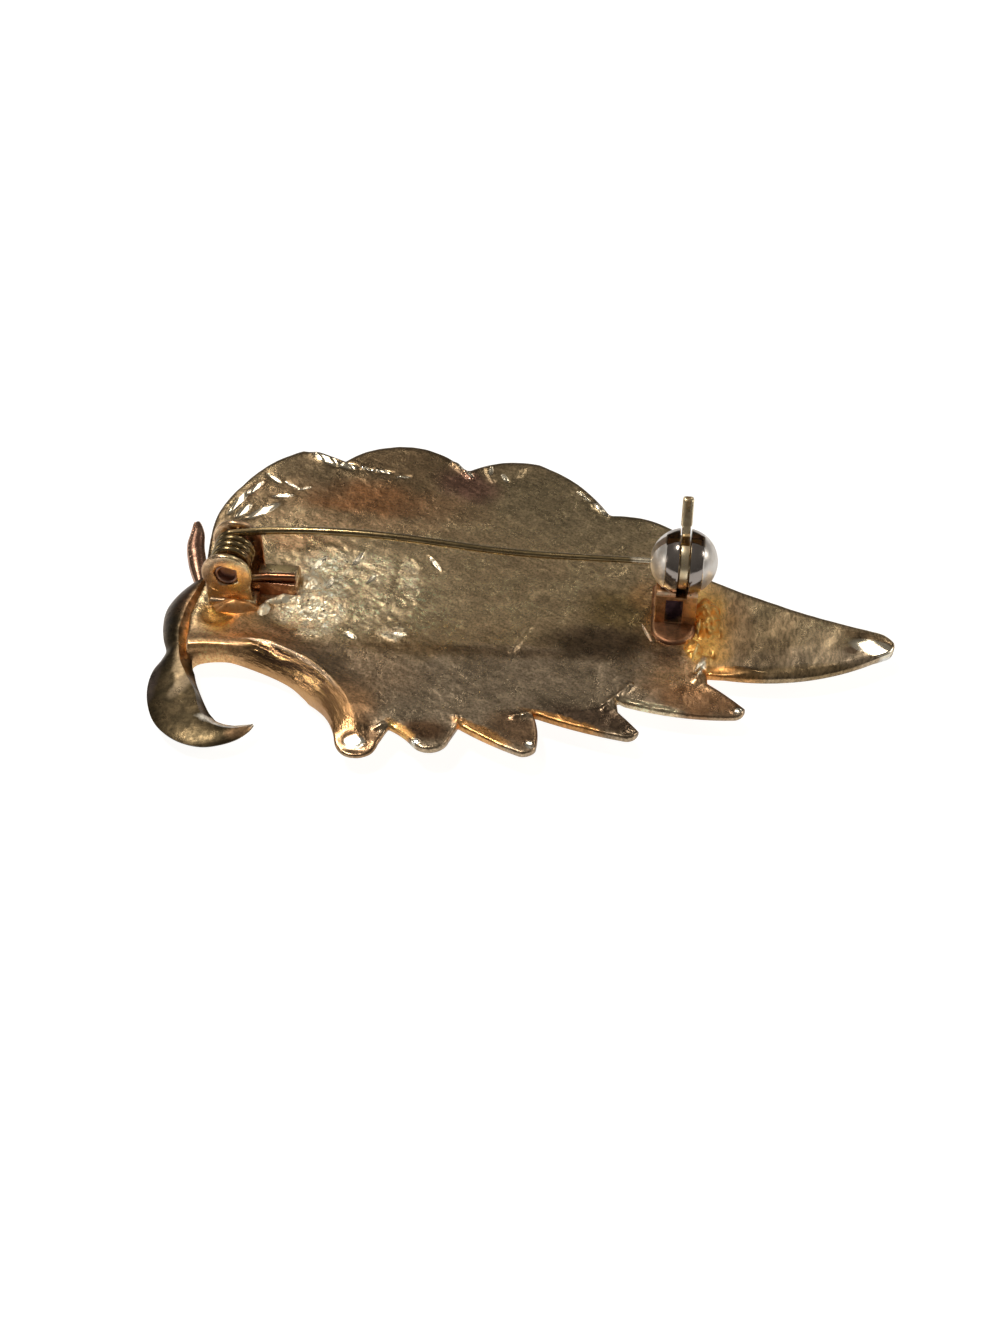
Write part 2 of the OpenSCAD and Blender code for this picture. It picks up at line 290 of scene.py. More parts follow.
def arc(centre: Point2, radius: float, start: float, end: float, steps: int) -> Loop2:
    """Points on an arc about a centre, from one angle in degrees to another, both ends in."""
    angles = [math.radians(start + (end - start) * i / steps) for i in range(steps + 1)]
    return [(centre[0] + radius * math.cos(a), centre[1] + radius * math.sin(a)) for a in angles]


def inside(points: np.ndarray, loop: np.ndarray) -> np.ndarray:
    """Tells which points lie inside a loop.

    Args:
        points: The points.
        loop: The loop.

    Returns:
        True for each point inside.
    """
    found = np.zeros(len(points), bool)
    px, py = points[:, 0], points[:, 1]
    for (x0, y0), (x1, y1) in zip(loop, np.roll(loop, -1, 0)):
        if y0 == y1:
            continue
        found ^= ((y0 > py) != (y1 > py)) & (px < (x1 - x0) * (py - y0) / (y1 - y0) + x0)
    return found


def shrunk(loop: np.ndarray, amount: float) -> np.ndarray:
    """Moves a counter-clockwise loop inward, square to its edges.

    Args:
        loop: The loop's points.
        amount: How far.

    Returns:
        The moved points.
    """
    before, after = np.roll(loop, 1, 0), np.roll(loop, -1, 0)
    e1, e2 = loop - before, after - loop
    n1 = np.stack([-e1[:, 1], e1[:, 0]], 1) / np.linalg.norm(e1, axis=1)[:, None]
    n2 = np.stack([-e2[:, 1], e2[:, 0]], 1) / np.linalg.norm(e2, axis=1)[:, None]
    mid = n1 + n2
    mid /= np.maximum(0.6, (mid**2).sum(1))[:, None] / 2
    return loop + amount * mid


def plate(
    outline: Loop2, holes: Sequence[Loop2], span: Point2, plane: Plane, bevel: float = 0.06
) -> MeshData:
    """A flat plate with rounded edges.

    Args:
        outline: Its outline, counter-clockwise.
        holes: Its holes, clockwise.
        span: Where it starts and ends along its thickness.
        plane: The plane of the outline.
        bevel: Radius of its edges.

    Returns:
        The plate's skin.
    """
    steps = 3
    loops = [np.array(outline, float), *[np.array(h, float) for h in holes]]
    verts: list[Row] = []
    faces: list[tuple[int, ...]] = []
    ends: list[list[list[int]]] = [[], []]
    for loop in loops:
        rings: list[list[int]] = []
        levels = []
        for i in range(steps + 1):
            turn = math.pi / 2 * i / steps
            levels.append((bevel * (1 - math.sin(turn)), bevel * (1 - math.cos(turn))))
        low = [(inset, span[0] + rise) for inset, rise in levels]
        high = [(inset, span[1] - rise) for inset, rise in reversed(levels)]
        for inset, w in low + high:
            moved = shrunk(loop, inset)
            rings.append(list(range(len(verts), len(verts) + len(moved))))
            verts += [(p[0], p[1], w) for p in moved]
        for r0, r1 in zip(rings, rings[1:]):
            n = len(r0)
            faces += [(r0[k], r0[(k + 1) % n], r1[(k + 1) % n], r1[k]) for k in range(n)]
        ends[0].append(rings[0])
        ends[1].append(rings[-1])
    for side, rings in enumerate(ends):
        flat = [i for ring in rings for i in ring]
        number = {v: k for k, v in enumerate(flat)}
        edges = [(number[a], number[b]) for ring in rings for a, b in zip(ring, ring[1:] + ring[:1])]
        points = [Vector((verts[i][0], verts[i][1])) for i in flat]
        made = delaunay_2d_cdt(points, edges, [], 2, 1e-7)
        middles = np.array([np.mean([made[0][k][:] for k in face], axis=0) for face in made[2]])
        open_here = np.zeros(len(middles), bool)
        for hole in loops[1:]:
            open_here |= inside(middles, hole)
        for face, skip in zip(made[2], open_here):
            ids = [flat[made[3][k][0]] for k in face]
            if not skip:
                faces.append(tuple(ids) if side else tuple(reversed(ids)))
    placed = np.array(verts)[:, plane.value]
    if plane is Plane.XZ:
        faces = [tuple(reversed(f)) for f in faces]
    return MeshData(placed, faces)


def c_shape(centre: Point2, outer: float, inner: float, half_cut: float, steps: int) -> Loop2:
    """A ring with a straight cut through its top, as one loop.

    Args:
        centre: The ring's centre.
        outer: Outer radius.
        inner: Inner radius.
        half_cut: Half width of the cut.
        steps: Pieces of each arc.

    Returns:
        The loop, counter-clockwise.
    """
    wide = math.degrees(math.asin(half_cut / outer))
    tight = math.degrees(math.asin(half_cut / inner))
    out = arc(centre, outer, 90 + wide, 450 - wide, steps)
    back = arc(centre, inner, 450 - tight, 90 + tight, steps)
    return out + back


def rectangle(low: Point2, high: Point2) -> Loop2:
    """Corners of a rectangle, counter-clockwise."""
    return [(low[0], low[1]), (high[0], low[1]), (high[0], high[1]), (low[0], high[1])]


def wire(rows: np.ndarray, sides: int) -> MeshData:
    """A round wire along a path.

    Args:
        rows: X, Y, Z and radius of each place on the path.
        sides: Sides of the wire.

    Returns:
        The wire's skin.
    """
    path, radii = rows[:, :3], rows[:, 3]
    run = np.gradient(path, axis=0)
    run /= np.linalg.norm(run, axis=1)[:, None]
    across = np.array([0.0, 1.0, 0.0])
    angles = 2 * math.pi * np.arange(sides) / sides
    rings = np.zeros((len(path), sides, 3))
    for i, t in enumerate(run):
        across = across - t * (across @ t)
        across /= np.linalg.norm(across)
        other = np.cross(t, across)
        rings[i] = path[i] + radii[i] * (
            np.outer(np.cos(angles), across) + np.outer(np.sin(angles), other)
        )
    return loft(rings)


def swept(table: np.ndarray, section: Callable[[np.ndarray], np.ndarray]) -> MeshData:
    """Carries a flat cross-section along a path that lies level.

    Args:
        table: x, y, z, half width and half thickness of each place, and what the section reads.
        section: Gives the section at a row, as shares of its half sizes.

    Returns:
        The skin.
    """
    run = np.gradient(table[:, :2], axis=0)
    run /= np.linalg.norm(run, axis=1)[:, None]
    rings = []
    for row, t in zip(table, run):
        across = section(row)
        ring = row[:3] + np.outer(across[:, 0] * row[3], (-t[1], t[0], 0.0))
        ring[:, 2] += across[:, 1] * row[4]
        rings.append(ring)
    return loft(np.array(rings))


# The leaf's form, repeated from the part's source


@dataclass
class LeafForm:
    """Outline and heights of the cast leaf.

    Attributes:
        outline: Corners counter-clockwise from the tip: x, y, and how far the edge to the next
            corner bows out as a share of half its length.
        body: Leaf without its teeth: x, low y, high y.
        hollow_centre: Centre of the circle along the hollow edge beside the stem.
        hollow_radius: Radius of that circle.
    """

    outline: tuple[Row, ...] = (
        (28.2, -2.1, 0.25), (26.6, -0.9, -0.04), (14.2, 3.9, 0.05), (13.3, 7.2, 0.3), (5.7, 10.7, 0.17),
        (-0.6, 16.3, 0.21), (-6.6, 14.8, 0.2), (-11.8, 17.3, 0.23), (-17.1, 14.9, 0.09),
        (-20.9, 15.8, 0.18), (-25.15, 10.9, 0.15), (-26.5, 5.0, 0.02), (-25.8, -0.6, 0.0),
        (-26.0, -5.0, 0.0), (-25.2, -9.2, -0.245), (-16.2, -11.1, -0.15), (-12.75, -16.1, 0.85),
        (-9.5, -16.2, 0.0), (-8.9, -14.9, -0.1), (-7.1, -16.2, 0.65), (-4.4, -15.6, 0.0),
        (-3.9, -14.2, 0.05), (0.8, -16.4, 0.3), (1.9, -15.8, 0.14), (1.4, -12.4, 0.05),
        (8.3, -14.0, 0.35), (9.2, -13.2, 0.03), (7.6, -11.4, 0.0), (7.4, -10.3, 0.1),
        (16.2, -10.9, 0.35), (16.9, -9.9, 0.05), (14.1, -7.6, 0.0), (14.0, -6.6, 0.2),
        (27.5, -3.4, 0.3),
    )
    body: tuple[Row, ...] = (
        (-27.0, -9.2, 5.0), (-22.0, -9.4, 13.5), (-17.0, -10.8, 14.9), (-12.0, -14.6, 15.3),
        (-6.6, -14.4, 14.8), (1.0, -12.7, 13.0), (7.4, -10.4, 10.0), (14.2, -6.8, 5.2), (20.0, -6.2, 1.8),
        (28.8, -3.2, -1.4),
    )
    hollow_centre: Point2 = (-22.73, -19.62)
    hollow_radius: float = 10.72
    back_z: float = 2.35
    back_slope: float = 0.0144
    dish_upper: float = 0.0022
    dish_lower: float = 0.0008
    valley_y: float = 1.0
    lip: Row = (0.4, 0.2, 1.0)
    tip_rise: Row = (12.0, 0.002)
    front_rise_tip: Row = (8.0, 0.0035)
    front_rise_hinge: Row = (-17.0, 0.014)
    groove_z: float = 0.7
    edge_t: float = 0.8
    wall_edge_t: float = 0.35
    wall_w: float = 1.55
    wall_drop: float = 1.9
    puff_t: float = 0.42

    def loop(self, step: float) -> np.ndarray:
        """Reads the outline as a fine loop.

        Args:
            step: Longest piece of the loop.

        Returns:
            The loop's points.
        """
        points: list[np.ndarray] = []
        for i, row in enumerate(self.outline):
            after = self.outline[(i + 1) % len(self.outline)]
            p, q, bow = np.array(row[:2]), np.array(after[:2]), row[2]
            chord = q - p
            length = float(np.linalg.norm(chord))
            count = max(1, math.ceil(length * (1 + bow * bow) / step))
            if abs(bow) < 0.001:
                points += [p + chord * k / count for k in range(count)]
                continue
            rise = bow * length / 2
            radius = (length**2 / 4 + rise**2) / (2 * rise)
            out = np.array([chord[1], -chord[0]]) / length
            half = 2 * math.atan(bow)
            for k in range(count):
                a = half * (2 * k / count - 1)
                lift = radius * math.cos(a) - radius + rise
                points.append((p + q) / 2 + chord / length * radius * math.sin(a) + out * lift)
        return np.array(points)

    def from_hollow(self, x: np.ndarray, y: np.ndarray) -> np.ndarray:
        """Distance inward from the hollow edge beside the stem."""
        cx, cy = self.hollow_centre
        return np.hypot(x - cx, y - cy) - self.hollow_radius

    def wall_width(self, x: np.ndarray, y: np.ndarray) -> np.ndarray:
        """Width of the rounded wall, which narrows toward the stem and the first tooth."""
        ends = np.clip((x + 22.6) / 4.4, 0, 1) * np.clip((y + 17.6) / 4.2, 0, 1)
        return self.wall_w * (0.38 + 0.62 * ends * ends * (3 - 2 * ends))

    def back(self, x: np.ndarray, y: np.ndarray) -> np.ndarray:
        """Height of the leaf's back, which faces up.

        Args:
            x: Places along X.
            y: Places along Y.

        Returns:
            The heights.
        """
        d = self.from_hollow(x, y)
        wide = self.wall_width(x, y)
        dish = np.where(y > self.valley_y, self.dish_upper, self.dish_lower)
        lip = self.lip[0] * np.exp(-(((d - wide - self.lip[1]) / self.lip[2]) ** 2))
        lip = lip * np.clip((y + 17.2) / 3.8, 0, 1)
        tip = self.tip_rise[1] * np.maximum(0, x - self.tip_rise[0]) ** 2
        share = 1 - np.clip(d, 0, wide) / wide
        drop = self.wall_drop * np.clip((y + 15.8) / 4.2, 0, 1)
        fall = np.where(d >= wide, 0, drop * (1 - np.sqrt(1 - share**2)))
        plain = self.back_z - self.back_slope * x + dish * (y - self.valley_y) ** 2
        return plain + tip + lip - fall

    def skin(self, x: np.ndarray, y: np.ndarray) -> np.ndarray:
        """Least thickness of the leaf at a place."""
        share = np.clip(self.from_hollow(x, y) / self.wall_w, 0, 1)
        return self.wall_edge_t + (self.edge_t - self.wall_edge_t) * share

    def front(self, x: np.ndarray, y: np.ndarray) -> np.ndarray:
        """Height of the leaf's front, which faces down.

        Args:
            x: Places along X.
            y: Places along Y.

        Returns:
            The heights.
        """
        table = np.array(self.body)
        low = np.interp(x, table[:, 0], table[:, 1])
        high = np.interp(x, table[:, 0], table[:, 2])
        a = np.minimum(1, np.abs(2 * (y - low) / (high - low) - 1))
        rim = self.back(x, y) - self.skin(x, y)
        inner = a < self.puff_t
        share = np.where(inner, 0, ((a - self.puff_t) / (1 - self.puff_t)) ** 2)
        groove = np.where(inner, self.groove_z * (1 - a / self.puff_t) ** 2, 0)
        ends = self.front_rise_tip[1] * np.maximum(0, x - self.front_rise_tip[0]) ** 2
        ends = ends + self.front_rise_hinge[1] * np.maximum(0, self.front_rise_hinge[0] - x) ** 2
        return np.minimum(rim, groove + rim * share + ends * (1 - share))


# Finishes


class NodeSheet:
    """A tree of nodes, with short ways to make the ones that the finishes use."""

    def __init__(self, tree: bpy.types.NodeTree, shader: str, easing: str = "SMOOTHSTEP") -> None:
        """Takes over a tree.

        Args:
            tree: The tree.
            shader: The name of its shader.
            easing: How a value moves from one range to another.
        """
        self.tree = tree
        self.shader = tree.nodes[shader]
        self.easing = easing

    def add(self, kind: str) -> bpy.types.Node:
        """Adds one node of a kind."""
        return self.tree.nodes.new("ShaderNode" + kind)

    def feed(self, socket: Socket, value: object) -> None:
        """Links a socket into another, or sets it where the value is plain."""
        if isinstance(value, Socket):
            self.tree.links.new(value, socket)
        else:
            socket.default_value = value

    def put(self, node: bpy.types.Node, **values: object) -> bpy.types.Node:
        """Feeds a node's inputs by name, and gives the node back."""
        for name, value in values.items():
            self.feed(node.inputs[name.replace("_", " ")], value)
        return node

    def step(self, kind: str, operation: str, *values: object) -> bpy.types.Node:
        """Adds a node of arithmetic.

        Args:
            kind: The kind of node.
            operation: What it does.
            values: What its inputs take, in order.

        Returns:
            The node.
        """
        node = self.add(kind)
        node.operation = operation
        for socket, value in zip(node.inputs, values):
            self.feed(socket, value)
        return node

    def maths(self, operation: str, a: object, b: object = 0.0) -> Socket:
        """One step of arithmetic on one or two values."""
        return self.step("Math", operation, a, b).outputs[0]

    def times(self, a: object, b: object) -> Socket:
        """Multiplies two values."""
        return self.maths("MULTIPLY", a, b)

    def vector(self, operation: str, a: object, b: object) -> Socket:
        """One step of arithmetic on two places or colours."""
        return self.step("VectorMath", operation, a, b).outputs["Vector"]

    def scaled(self, vector: object, by: object) -> Socket:
        """Scales a place, or makes a colour brighter or darker."""
        return self.put(self.step("VectorMath", "SCALE", vector), Scale=by).outputs["Vector"]

    def length(self, where: Socket) -> Socket:
        """Length of a vector."""
        return self.step("VectorMath", "LENGTH", where).outputs["Value"]

    def split(self, where: Socket) -> tuple[Socket, Socket, Socket]:
        """X, Y and Z of a place."""
        x, y, z = self.put(self.add("SeparateXYZ"), Vector=where).outputs
        return x, y, z

    def place(self) -> Socket:
        """Gives the place on the piece, in millimetres."""
        return self.scaled(self.add("TexCoord").outputs["Object"], 1.0 / MM)

    def stretched(self, where: Socket, scale: Row) -> Socket:
        """Multiplies a place by a scale on each axis."""
        return self.vector("MULTIPLY", where, scale)

    def noise(
        self, where: Socket, size: float, detail: float = 3.0, rough: float = 0.55, twist: float = 0.0
    ) -> Socket:
        """Cloudy noise.

        Args:
            where: The place to read it at.
            size: Size of its clouds in millimetres.
            detail: How many finer layers it has.
            rough: How strong the finer layers are.
            twist: How much it is twisted.

        Returns:
            A value from 0 to 1.
        """
        node = self.add("TexNoise")
        self.put(node, Vector=where, Scale=1.0 / size, Detail=detail, Roughness=rough, Distortion=twist)
        return node.outputs["Fac"]

    def between(
        self, value: Socket, low: float, high: float, first: float = 0.0, last: float = 1.0
    ) -> Socket:
        """Maps a range of a value to another range.

        Args:
            value: The value.
            low: Start of its range.
            high: End of its range.
            first: What the start becomes.
            last: What the end becomes.

        Returns:
            The mapped value.
        """
        node = self.add("MapRange")
        node.interpolation_type = self.easing
        self.put(node, Value=value, From_Min=low, From_Max=high, To_Min=first, To_Max=last)
        return node.outputs["Result"]

    def blend(self, share: object, a: object, b: object) -> Socket:
        """Mixes two colours.

        Args:
            share: How much of the second one.
            a: First colour, as a tuple or a socket.
            b: Second colour.

        Returns:
            The mixed colour.
        """
        node = self.add("Mix")
        node.data_type = "RGBA"
        self.feed(node.inputs["Factor"], share)
        for name, colour in (("A", a), ("B", b)):
            socket = [s for s in node.inputs if s.name == name and s.type == "RGBA"][0]
            self.feed(socket, (*colour, 1.0) if isinstance(colour, tuple) else colour)
        return [s for s in node.outputs if s.type == "RGBA"][0]

    def zone(self, where: Socket, centre: Point2, reach: Point2, turn: float, soft: float) -> Socket:
        """A soft-edged oval region, seen from above.

        Args:
            where: The place.
            centre: Centre of the oval in millimetres.
            reach: Its half sizes.
            turn: How far it is turned, in degrees.
            soft: How soft its edge is, as a share of its size.

        Returns:
            1 inside, falling to 0 outside.
        """
        node = self.add("Mapping")
        node.vector_type = "TEXTURE"
        upright = (0.0, 0.0, math.radians(turn))
        self.put(node, Vector=where, Location=(*centre, 2.5), Rotation=upright, Scale=(*reach, 40.0))
        return self.between(self.length(node.outputs[0]), 1 - soft, 1 + soft, 1.0, 0.0)

    def painted(self, where: Socket, close: Socket, colour: object, zones: "Sequence[Zone]") -> object:
        """Lays zones of colour over a colour.

        Args:
            where: The place to read large zones at.
            close: The place to read small zones at.
            colour: What lies under them.
            zones: The zones.

        Returns:
            The colour with the zones on it.
        """
        for zone in zones:
            at = close if min(zone.reach) < 1.2 else where
            share = self.zone(at, zone.centre, zone.reach, zone.turn, zone.soft)
            colour = self.blend(self.times(share, zone.share), colour, zone.colour)
        return colour

    def mark(self, name: str) -> Socket:
        """Reads a value that the mesh carries at its corners."""
        node = self.add("Attribute")
        node.attribute_name = name
        return node.outputs["Fac"]

    def wobbled(self, where: Socket, size: float, by: float) -> Socket:
        """Shifts a place about by noise, so that regions read from it have uneven edges.

        Args:
            where: The place.
            size: Size of the noise in millimetres.
            by: How far it shifts, in millimetres.

        Returns:
            The shifted place.
        """
        node = self.put(self.add("TexNoise"), Vector=where, Scale=1.0 / size)
        off = self.vector("SUBTRACT", node.outputs["Color"], (0.5, 0.5, 0.5))
        return self.vector("ADD", where, self.stretched(off, (2 * by, 2 * by, 2 * by)))

    def bump(self, height: object, depth: float, under: Socket | None = None) -> Socket:
        """Turns a height into a surface that catches the light.

        Args:
            height: The height, from 0 to 1.
            depth: What 1 stands for, in millimetres.
            under: A bump that this one is laid on.

        Returns:
            The normal.
        """
        node = self.put(self.add("Bump"), Strength=1.0, Distance=depth * MM, Height=height)
        if under is not None:
            self.put(node, Normal=under)
        return node.outputs["Normal"]


class FinishSheet(NodeSheet):
    """The nodes of one material."""

    def __init__(self, name: str, metal: float = 1.0) -> None:
        """Starts a material.

        Args:
            name: The material's name.
            metal: How metallic it is.
        """
        self.material = bpy.data.materials.new(name)
        self.material.use_nodes = True
        super().__init__(self.material.node_tree, "Principled BSDF")
        self.put(self.shader, Metallic=metal)

    def finish(self, colour: object, roughness: object, normal: Socket) -> Material:
        """Feeds the shader and gives the material."""
        self.put(self.shader, Base_Color=colour, Roughness=roughness, Normal=normal)
        return self.material


@dataclass(frozen=True)
class Zone:
    """A soft-edged oval of another colour.

    Attributes:
        colour: Its colour.
        centre: Its middle, in millimetres.
        reach: Its half sizes.
        turn: How far it is turned, in degrees.
        share: How fully it covers what lies under it.
        soft: How soft its edge is, as a share of its size.
    """

    colour: Row
    centre: Point2
    reach: Point2
    turn: float = 0.0
    share: float = 0.8
    soft: float = 0.5


@dataclass(frozen=True)
class CastLeafGold:
    """Gold plate over an as-cast back: fine orange-peel grain, darker and browner in places.

    Attributes:
        gold: Colour where the plate is clean.
        dull: Colour where it has dulled.
        cream: Colour of the rough pale solder beside the hinge.
        peach: The same where it is thin.
        rim: Colour of the painted dark reflection, a thin line along the upper edges.
        grain: Size of the grain in millimetres.
        grain_depth: Depth of the grain in millimetres.
        zones: Places where the colour differs, some of them painted shadow, sheen, highlight and
            reflection.
        satin: Rougher places: middle, half sizes, added roughness.
        unpainted_facets: Places where the facets get no painted highlight: middle, half sizes, turn.
        solder: Places where the pale solder lies: its oval and how much there is of it.
    """

    gold: Row = (0.8, 0.6, 0.345)
    dull: Row = (0.54, 0.39, 0.225)
    cream: Row = (1.0, 0.9, 0.68)
    peach: Row = (0.92, 0.62, 0.36)
    rim: Row = (0.16, 0.1, 0.05)
    grain: float = 0.13
    grain_depth: float = 0.015
    zones: tuple[Zone, ...] = (
        # Upper part
        Zone((0.27, 0.175, 0.095), (-10.0, 14.2), (8.0, 3.0), -2),
        Zone((0.41, 0.32, 0.19), (3.0, 10.8), (9.5, 4.2), -20, 0.75),
        Zone((0.48, 0.21, 0.085), (-15.2, 10.2), (6.3, 2.1), -3, 0.85),
        Zone((0.44, 0.25, 0.13), (-8.5, 9.6), (4.0, 1.8), -6, 0.5),
        Zone((0.34, 0.17, 0.13), (-6.4, 12.7), (2.6, 1.7), -28, 0.75),
        Zone((0.27, 0.19, 0.11), (-19.8, 12.9), (3.4, 3.0), -30),
        Zone((0.5, 0.34, 0.19), (-22.6, 9.0), (2.2, 3.4), -30, 0.7),
        Zone((0.3, 0.17, 0.09), (-24.0, 10.3), (0.5, 1.6), -28, 0.7),
        Zone((0.7, 0.44, 0.24), (-14.0, 7.1), (6.5, 0.9), -2, 0.6),
        Zone((0.92, 0.54, 0.28), (-18.8, 4.4), (3.2, 1.3), -4),
        Zone((0.3, 0.2, 0.08), (-17.4, 3.9), (1.7, 0.4), 22),
        # Around the hinge and the stem
        # Painted sheen: the broad lighter, yellower area left of the middle
        Zone((0.98, 0.74, 0.44), (-12.0, -1.4), (7.2, 5.4), -22, 0.75),
        Zone((0.92, 0.57, 0.3), (-21.4, -7.2), (4.0, 1.9), -6, 0.85),
        Zone((0.9, 0.6, 0.34), (-24.6, -7.6), (1.3, 1.9), 0, 0.85),
        Zone((1.0, 0.55, 0.24), (-23.2, -8.9), (1.9, 0.8), -4, 0.9),
        Zone((1.0, 0.5, 0.13), (-23.7, -5.1), (1.3, 1.7), 0, 0.95, 0.6),
        Zone((0.4, 0.18, 0.06), (-21.2, -3.0), (1.6, 0.9), -20, 0.85),
        Zone((0.55, 0.32, 0.17), (-18.6, -7.0), (3.4, 1.2), -12, 0.6),
        Zone((0.62, 0.34, 0.16), (-12.4, -13.6), (2.4, 2.8)),
        Zone((0.36, 0.21, 0.11), (-11.2, -16.2), (2.0, 1.5), 0, 0.85, 0.3),
        # Middle and catch
        Zone((0.26, 0.17, 0.095), (-4.0, -6.5), (10.0, 0.55), 3, 0.75, 0.8),
        Zone((0.52, 0.34, 0.2), (-11.5, -9.6), (4.4, 2.4), -10, 0.5),
        Zone((0.4, 0.26, 0.13), (-8.6, -6.6), (4.2, 1.2), 0, 0.65),
        Zone((0.28, 0.185, 0.065), (7.4, -0.9), (3.2, 2.6), 0, 0.75),
        # Painted shadow of the ball catch, on the leaf left of and below it
        Zone((0.15, 0.1, 0.06), (5.8, -4.4), (4.3, 1.75), 4, 0.92),
        Zone((0.5, 0.27, 0.11), (9.3, 1.3), (1.3, 2.0), 0, 0.6),
        Zone((0.72, 0.42, 0.2), (12.4, -7.7), (2.8, 1.8), 0, 0.65),
        Zone((1.0, 0.55, 0.14), (14.0, -1.9), (1.9, 4.4), 3, 0.95, 0.5),
        Zone((0.46, 0.25, 0.12), (16.4, -1.4), (1.0, 3.6), 3, 0.6),
        # Teeth and tip
        Zone((0.17, 0.085, 0.04), (-6.4, -15.1), (2.0, 1.0), 0, 0.88),
        Zone((0.34, 0.2, 0.11), (0.4, -14.2), (2.2, 1.5), -12, 0.85),
        Zone((0.12, 0.075, 0.048), (5.8, -12.5), (4.0, 1.2), -8, 0.88),
        Zone((0.36, 0.17, 0.07), (13.6, -9.6), (3.6, 1.4), -4),
        # Painted reflection: orange strips along the teeth's lower-left edges and the tip's lower edge,
        # paler on the fifth tooth
        Zone((1.0, 0.52, 0.18), (-8.0, -15.15), (1.3, 0.42), -36, 0.95, 0.3),
        Zone((0.9, 0.44, 0.15), (-2.2, -14.75), (2.3, 0.5), -24, 0.9, 0.3),
        Zone((0.62, 0.3, 0.1), (3.5, -12.9), (3.0, 0.42), -14, 0.9, 0.3),
        Zone((1.0, 0.8, 0.52), (9.8, -10.6), (2.3, 0.34), -8, 0.9, 0.3),
        Zone((1.0, 0.46, 0.14), (15.8, -6.5), (2.4, 0.62), 0, 1.0, 0.25),
        Zone((0.48, 0.33, 0.18), (17.8, -3.0), (3.0, 3.2), 0, 0.6),
        Zone((0.9, 0.68, 0.42), (22.6, -2.9), (1.8, 2.4), 0, 0.6),
        Zone((0.32, 0.22, 0.11), (21.4, -5.8), (6.6, 0.6), 9, 0.85),
        # Painted dark reflection beside the tip's painted highlight
        Zone((0.16, 0.1, 0.06), (24.9, -3.3), (0.5, 0.4), 0, 0.8, 0.4),
        # Painted highlight on the first tooth's end
        Zone((1.0, 0.94, 0.8), (-11.25, -16.45), (0.7, 0.5), 0, 0.95, 0.3),
        Zone((0.14, 0.09, 0.05), (-11.15, -15.3), (0.85, 0.4), 0, 0.85, 0.4),
        # Painted highlight: the white wedge along the tip
        Zone((1.0, 0.96, 0.88), (26.6, -3.15), (1.5, 0.5), -12, 1.0, 0.25),
        Zone((0.2, 0.13, 0.07), (26.2, -1.9), (2.2, 0.55), -20, 0.85, 0.4),
        # Painted highlights on the tooth tips and beside the catch
        *(
            Zone((1.0, 0.94, 0.8), tooth, (0.3, 0.3), 0, 0.9, 0.4)
            for tooth in ((-6.8, -16.3), (1.4, -15.6), (16.4, -10.3))
        ),
        Zone((1.0, 0.94, 0.8), (13.5, -6.2), (0.3, 1.0), -15, 0.8, 0.4),
    )
    satin: tuple[tuple[Point2, Point2, float], ...] = (
        ((-22.2, -6.8), (3.2, 2.0), 0.12), ((14.5, -1.8), (1.9, 4.4), 0.2),
        ((-13.2, -13.0), (2.4, 2.4), 0.1), ((-20.2, 12.6), (2.0, 2.4), 0.05),
    )
    unpainted_facets: tuple[tuple[Point2, Point2, float], ...] = (
        ((-23.7, -5.2), (2.2, 2.0), 0.0), ((15.2, -4.0), (2.6, 5.6), 20.0),
    )
    solder: tuple[tuple[Row, float], ...] = (
        ((-16.6, -3.1, 2.5, 3.0, 10.0), 1.0), ((-16.4, 1.0, 2.3, 2.6, 0.0), 0.75),
        ((-13.2, 1.6, 2.0, 2.0, -20.0), 0.38), ((-12.8, -2.4, 2.4, 3.0, -20.0), 0.18),
        ((-9.9, -5.3, 1.1, 0.7, 0.0), 0.7), ((-9.6, 1.0, 0.7, 2.2, 15.0), 0.4),
    )

    def build(self, form: LeafForm) -> Material:
        """Makes the material.

        Args:
            form: The leaf, for the places of its features.

        Returns:
            The material.
        """
        s = FinishSheet("cast_leaf_gold")
        where = s.place()
        loose = s.wobbled(where, 1.8, 0.9)
        close = s.wobbled(where, 0.6, 0.25)
        x, y, _ = s.split(loose)
        cloud = s.noise(where, 2.4, 4.0, 0.62)
        colour = s.blend(s.between(cloud, 0.38, 0.62), self.gold, self.dull)
        slanted = s.maths("SUBTRACT", y, s.times(x, 0.1))
        lower = s.between(slanted, -6.0, -5.0, 0.75, 0.0)
        colour = s.blend(lower, colour, (0.47, 0.365, 0.26))
        colour = s.painted(loose, close, colour, self.zones)
        patchy = s.between(s.noise(where, 0.45, 4.0, 0.68), 0.42, 0.54, 0.25, 1.0)
        pale = 0.0
        for (rx, ry, across, along, turn), share in self.solder:
            here = s.times(s.zone(loose, (rx, ry), (across, along), turn, 0.35), share)
            pale = s.maths("MAXIMUM", pale, here)
        pale = s.times(pale, patchy)
        thin = s.between(s.noise(where, 0.9, 3.0, 0.6), 0.5, 0.6, 0.0, 0.75)
        colour = s.blend(pale, colour, s.blend(thin, self.cream, self.peach))
        # Fine mottling everywhere, drawn out into short strokes toward the tip
        speck = s.between(s.noise(where, 0.2, 3.0, 0.68), 0.3, 0.7, 0.66, 1.36)
        turned = s.put(s.add("VectorRotate"), Vector=close, Angle=math.radians(-58.0))
        turned.rotation_type = "Z_AXIS"
        brushed = s.noise(s.stretched(turned.outputs[0], (3.4, 0.9, 1.0)), 1.0, 3.0, 0.6)
        speck = s.times(speck, s.between(brushed, 0.3, 0.7, 0.78, 1.24))
        strokes = s.noise(s.stretched(close, (1.0, 0.2, 1.0)), 0.2, 3.0, 0.6)
        toward_tip = s.between(x, 12.0, 16.5)
        mottle = s.blend(toward_tip, speck, s.between(strokes, 0.3, 0.7, 0.6, 1.42))
        colour = s.scaled(colour, mottle)
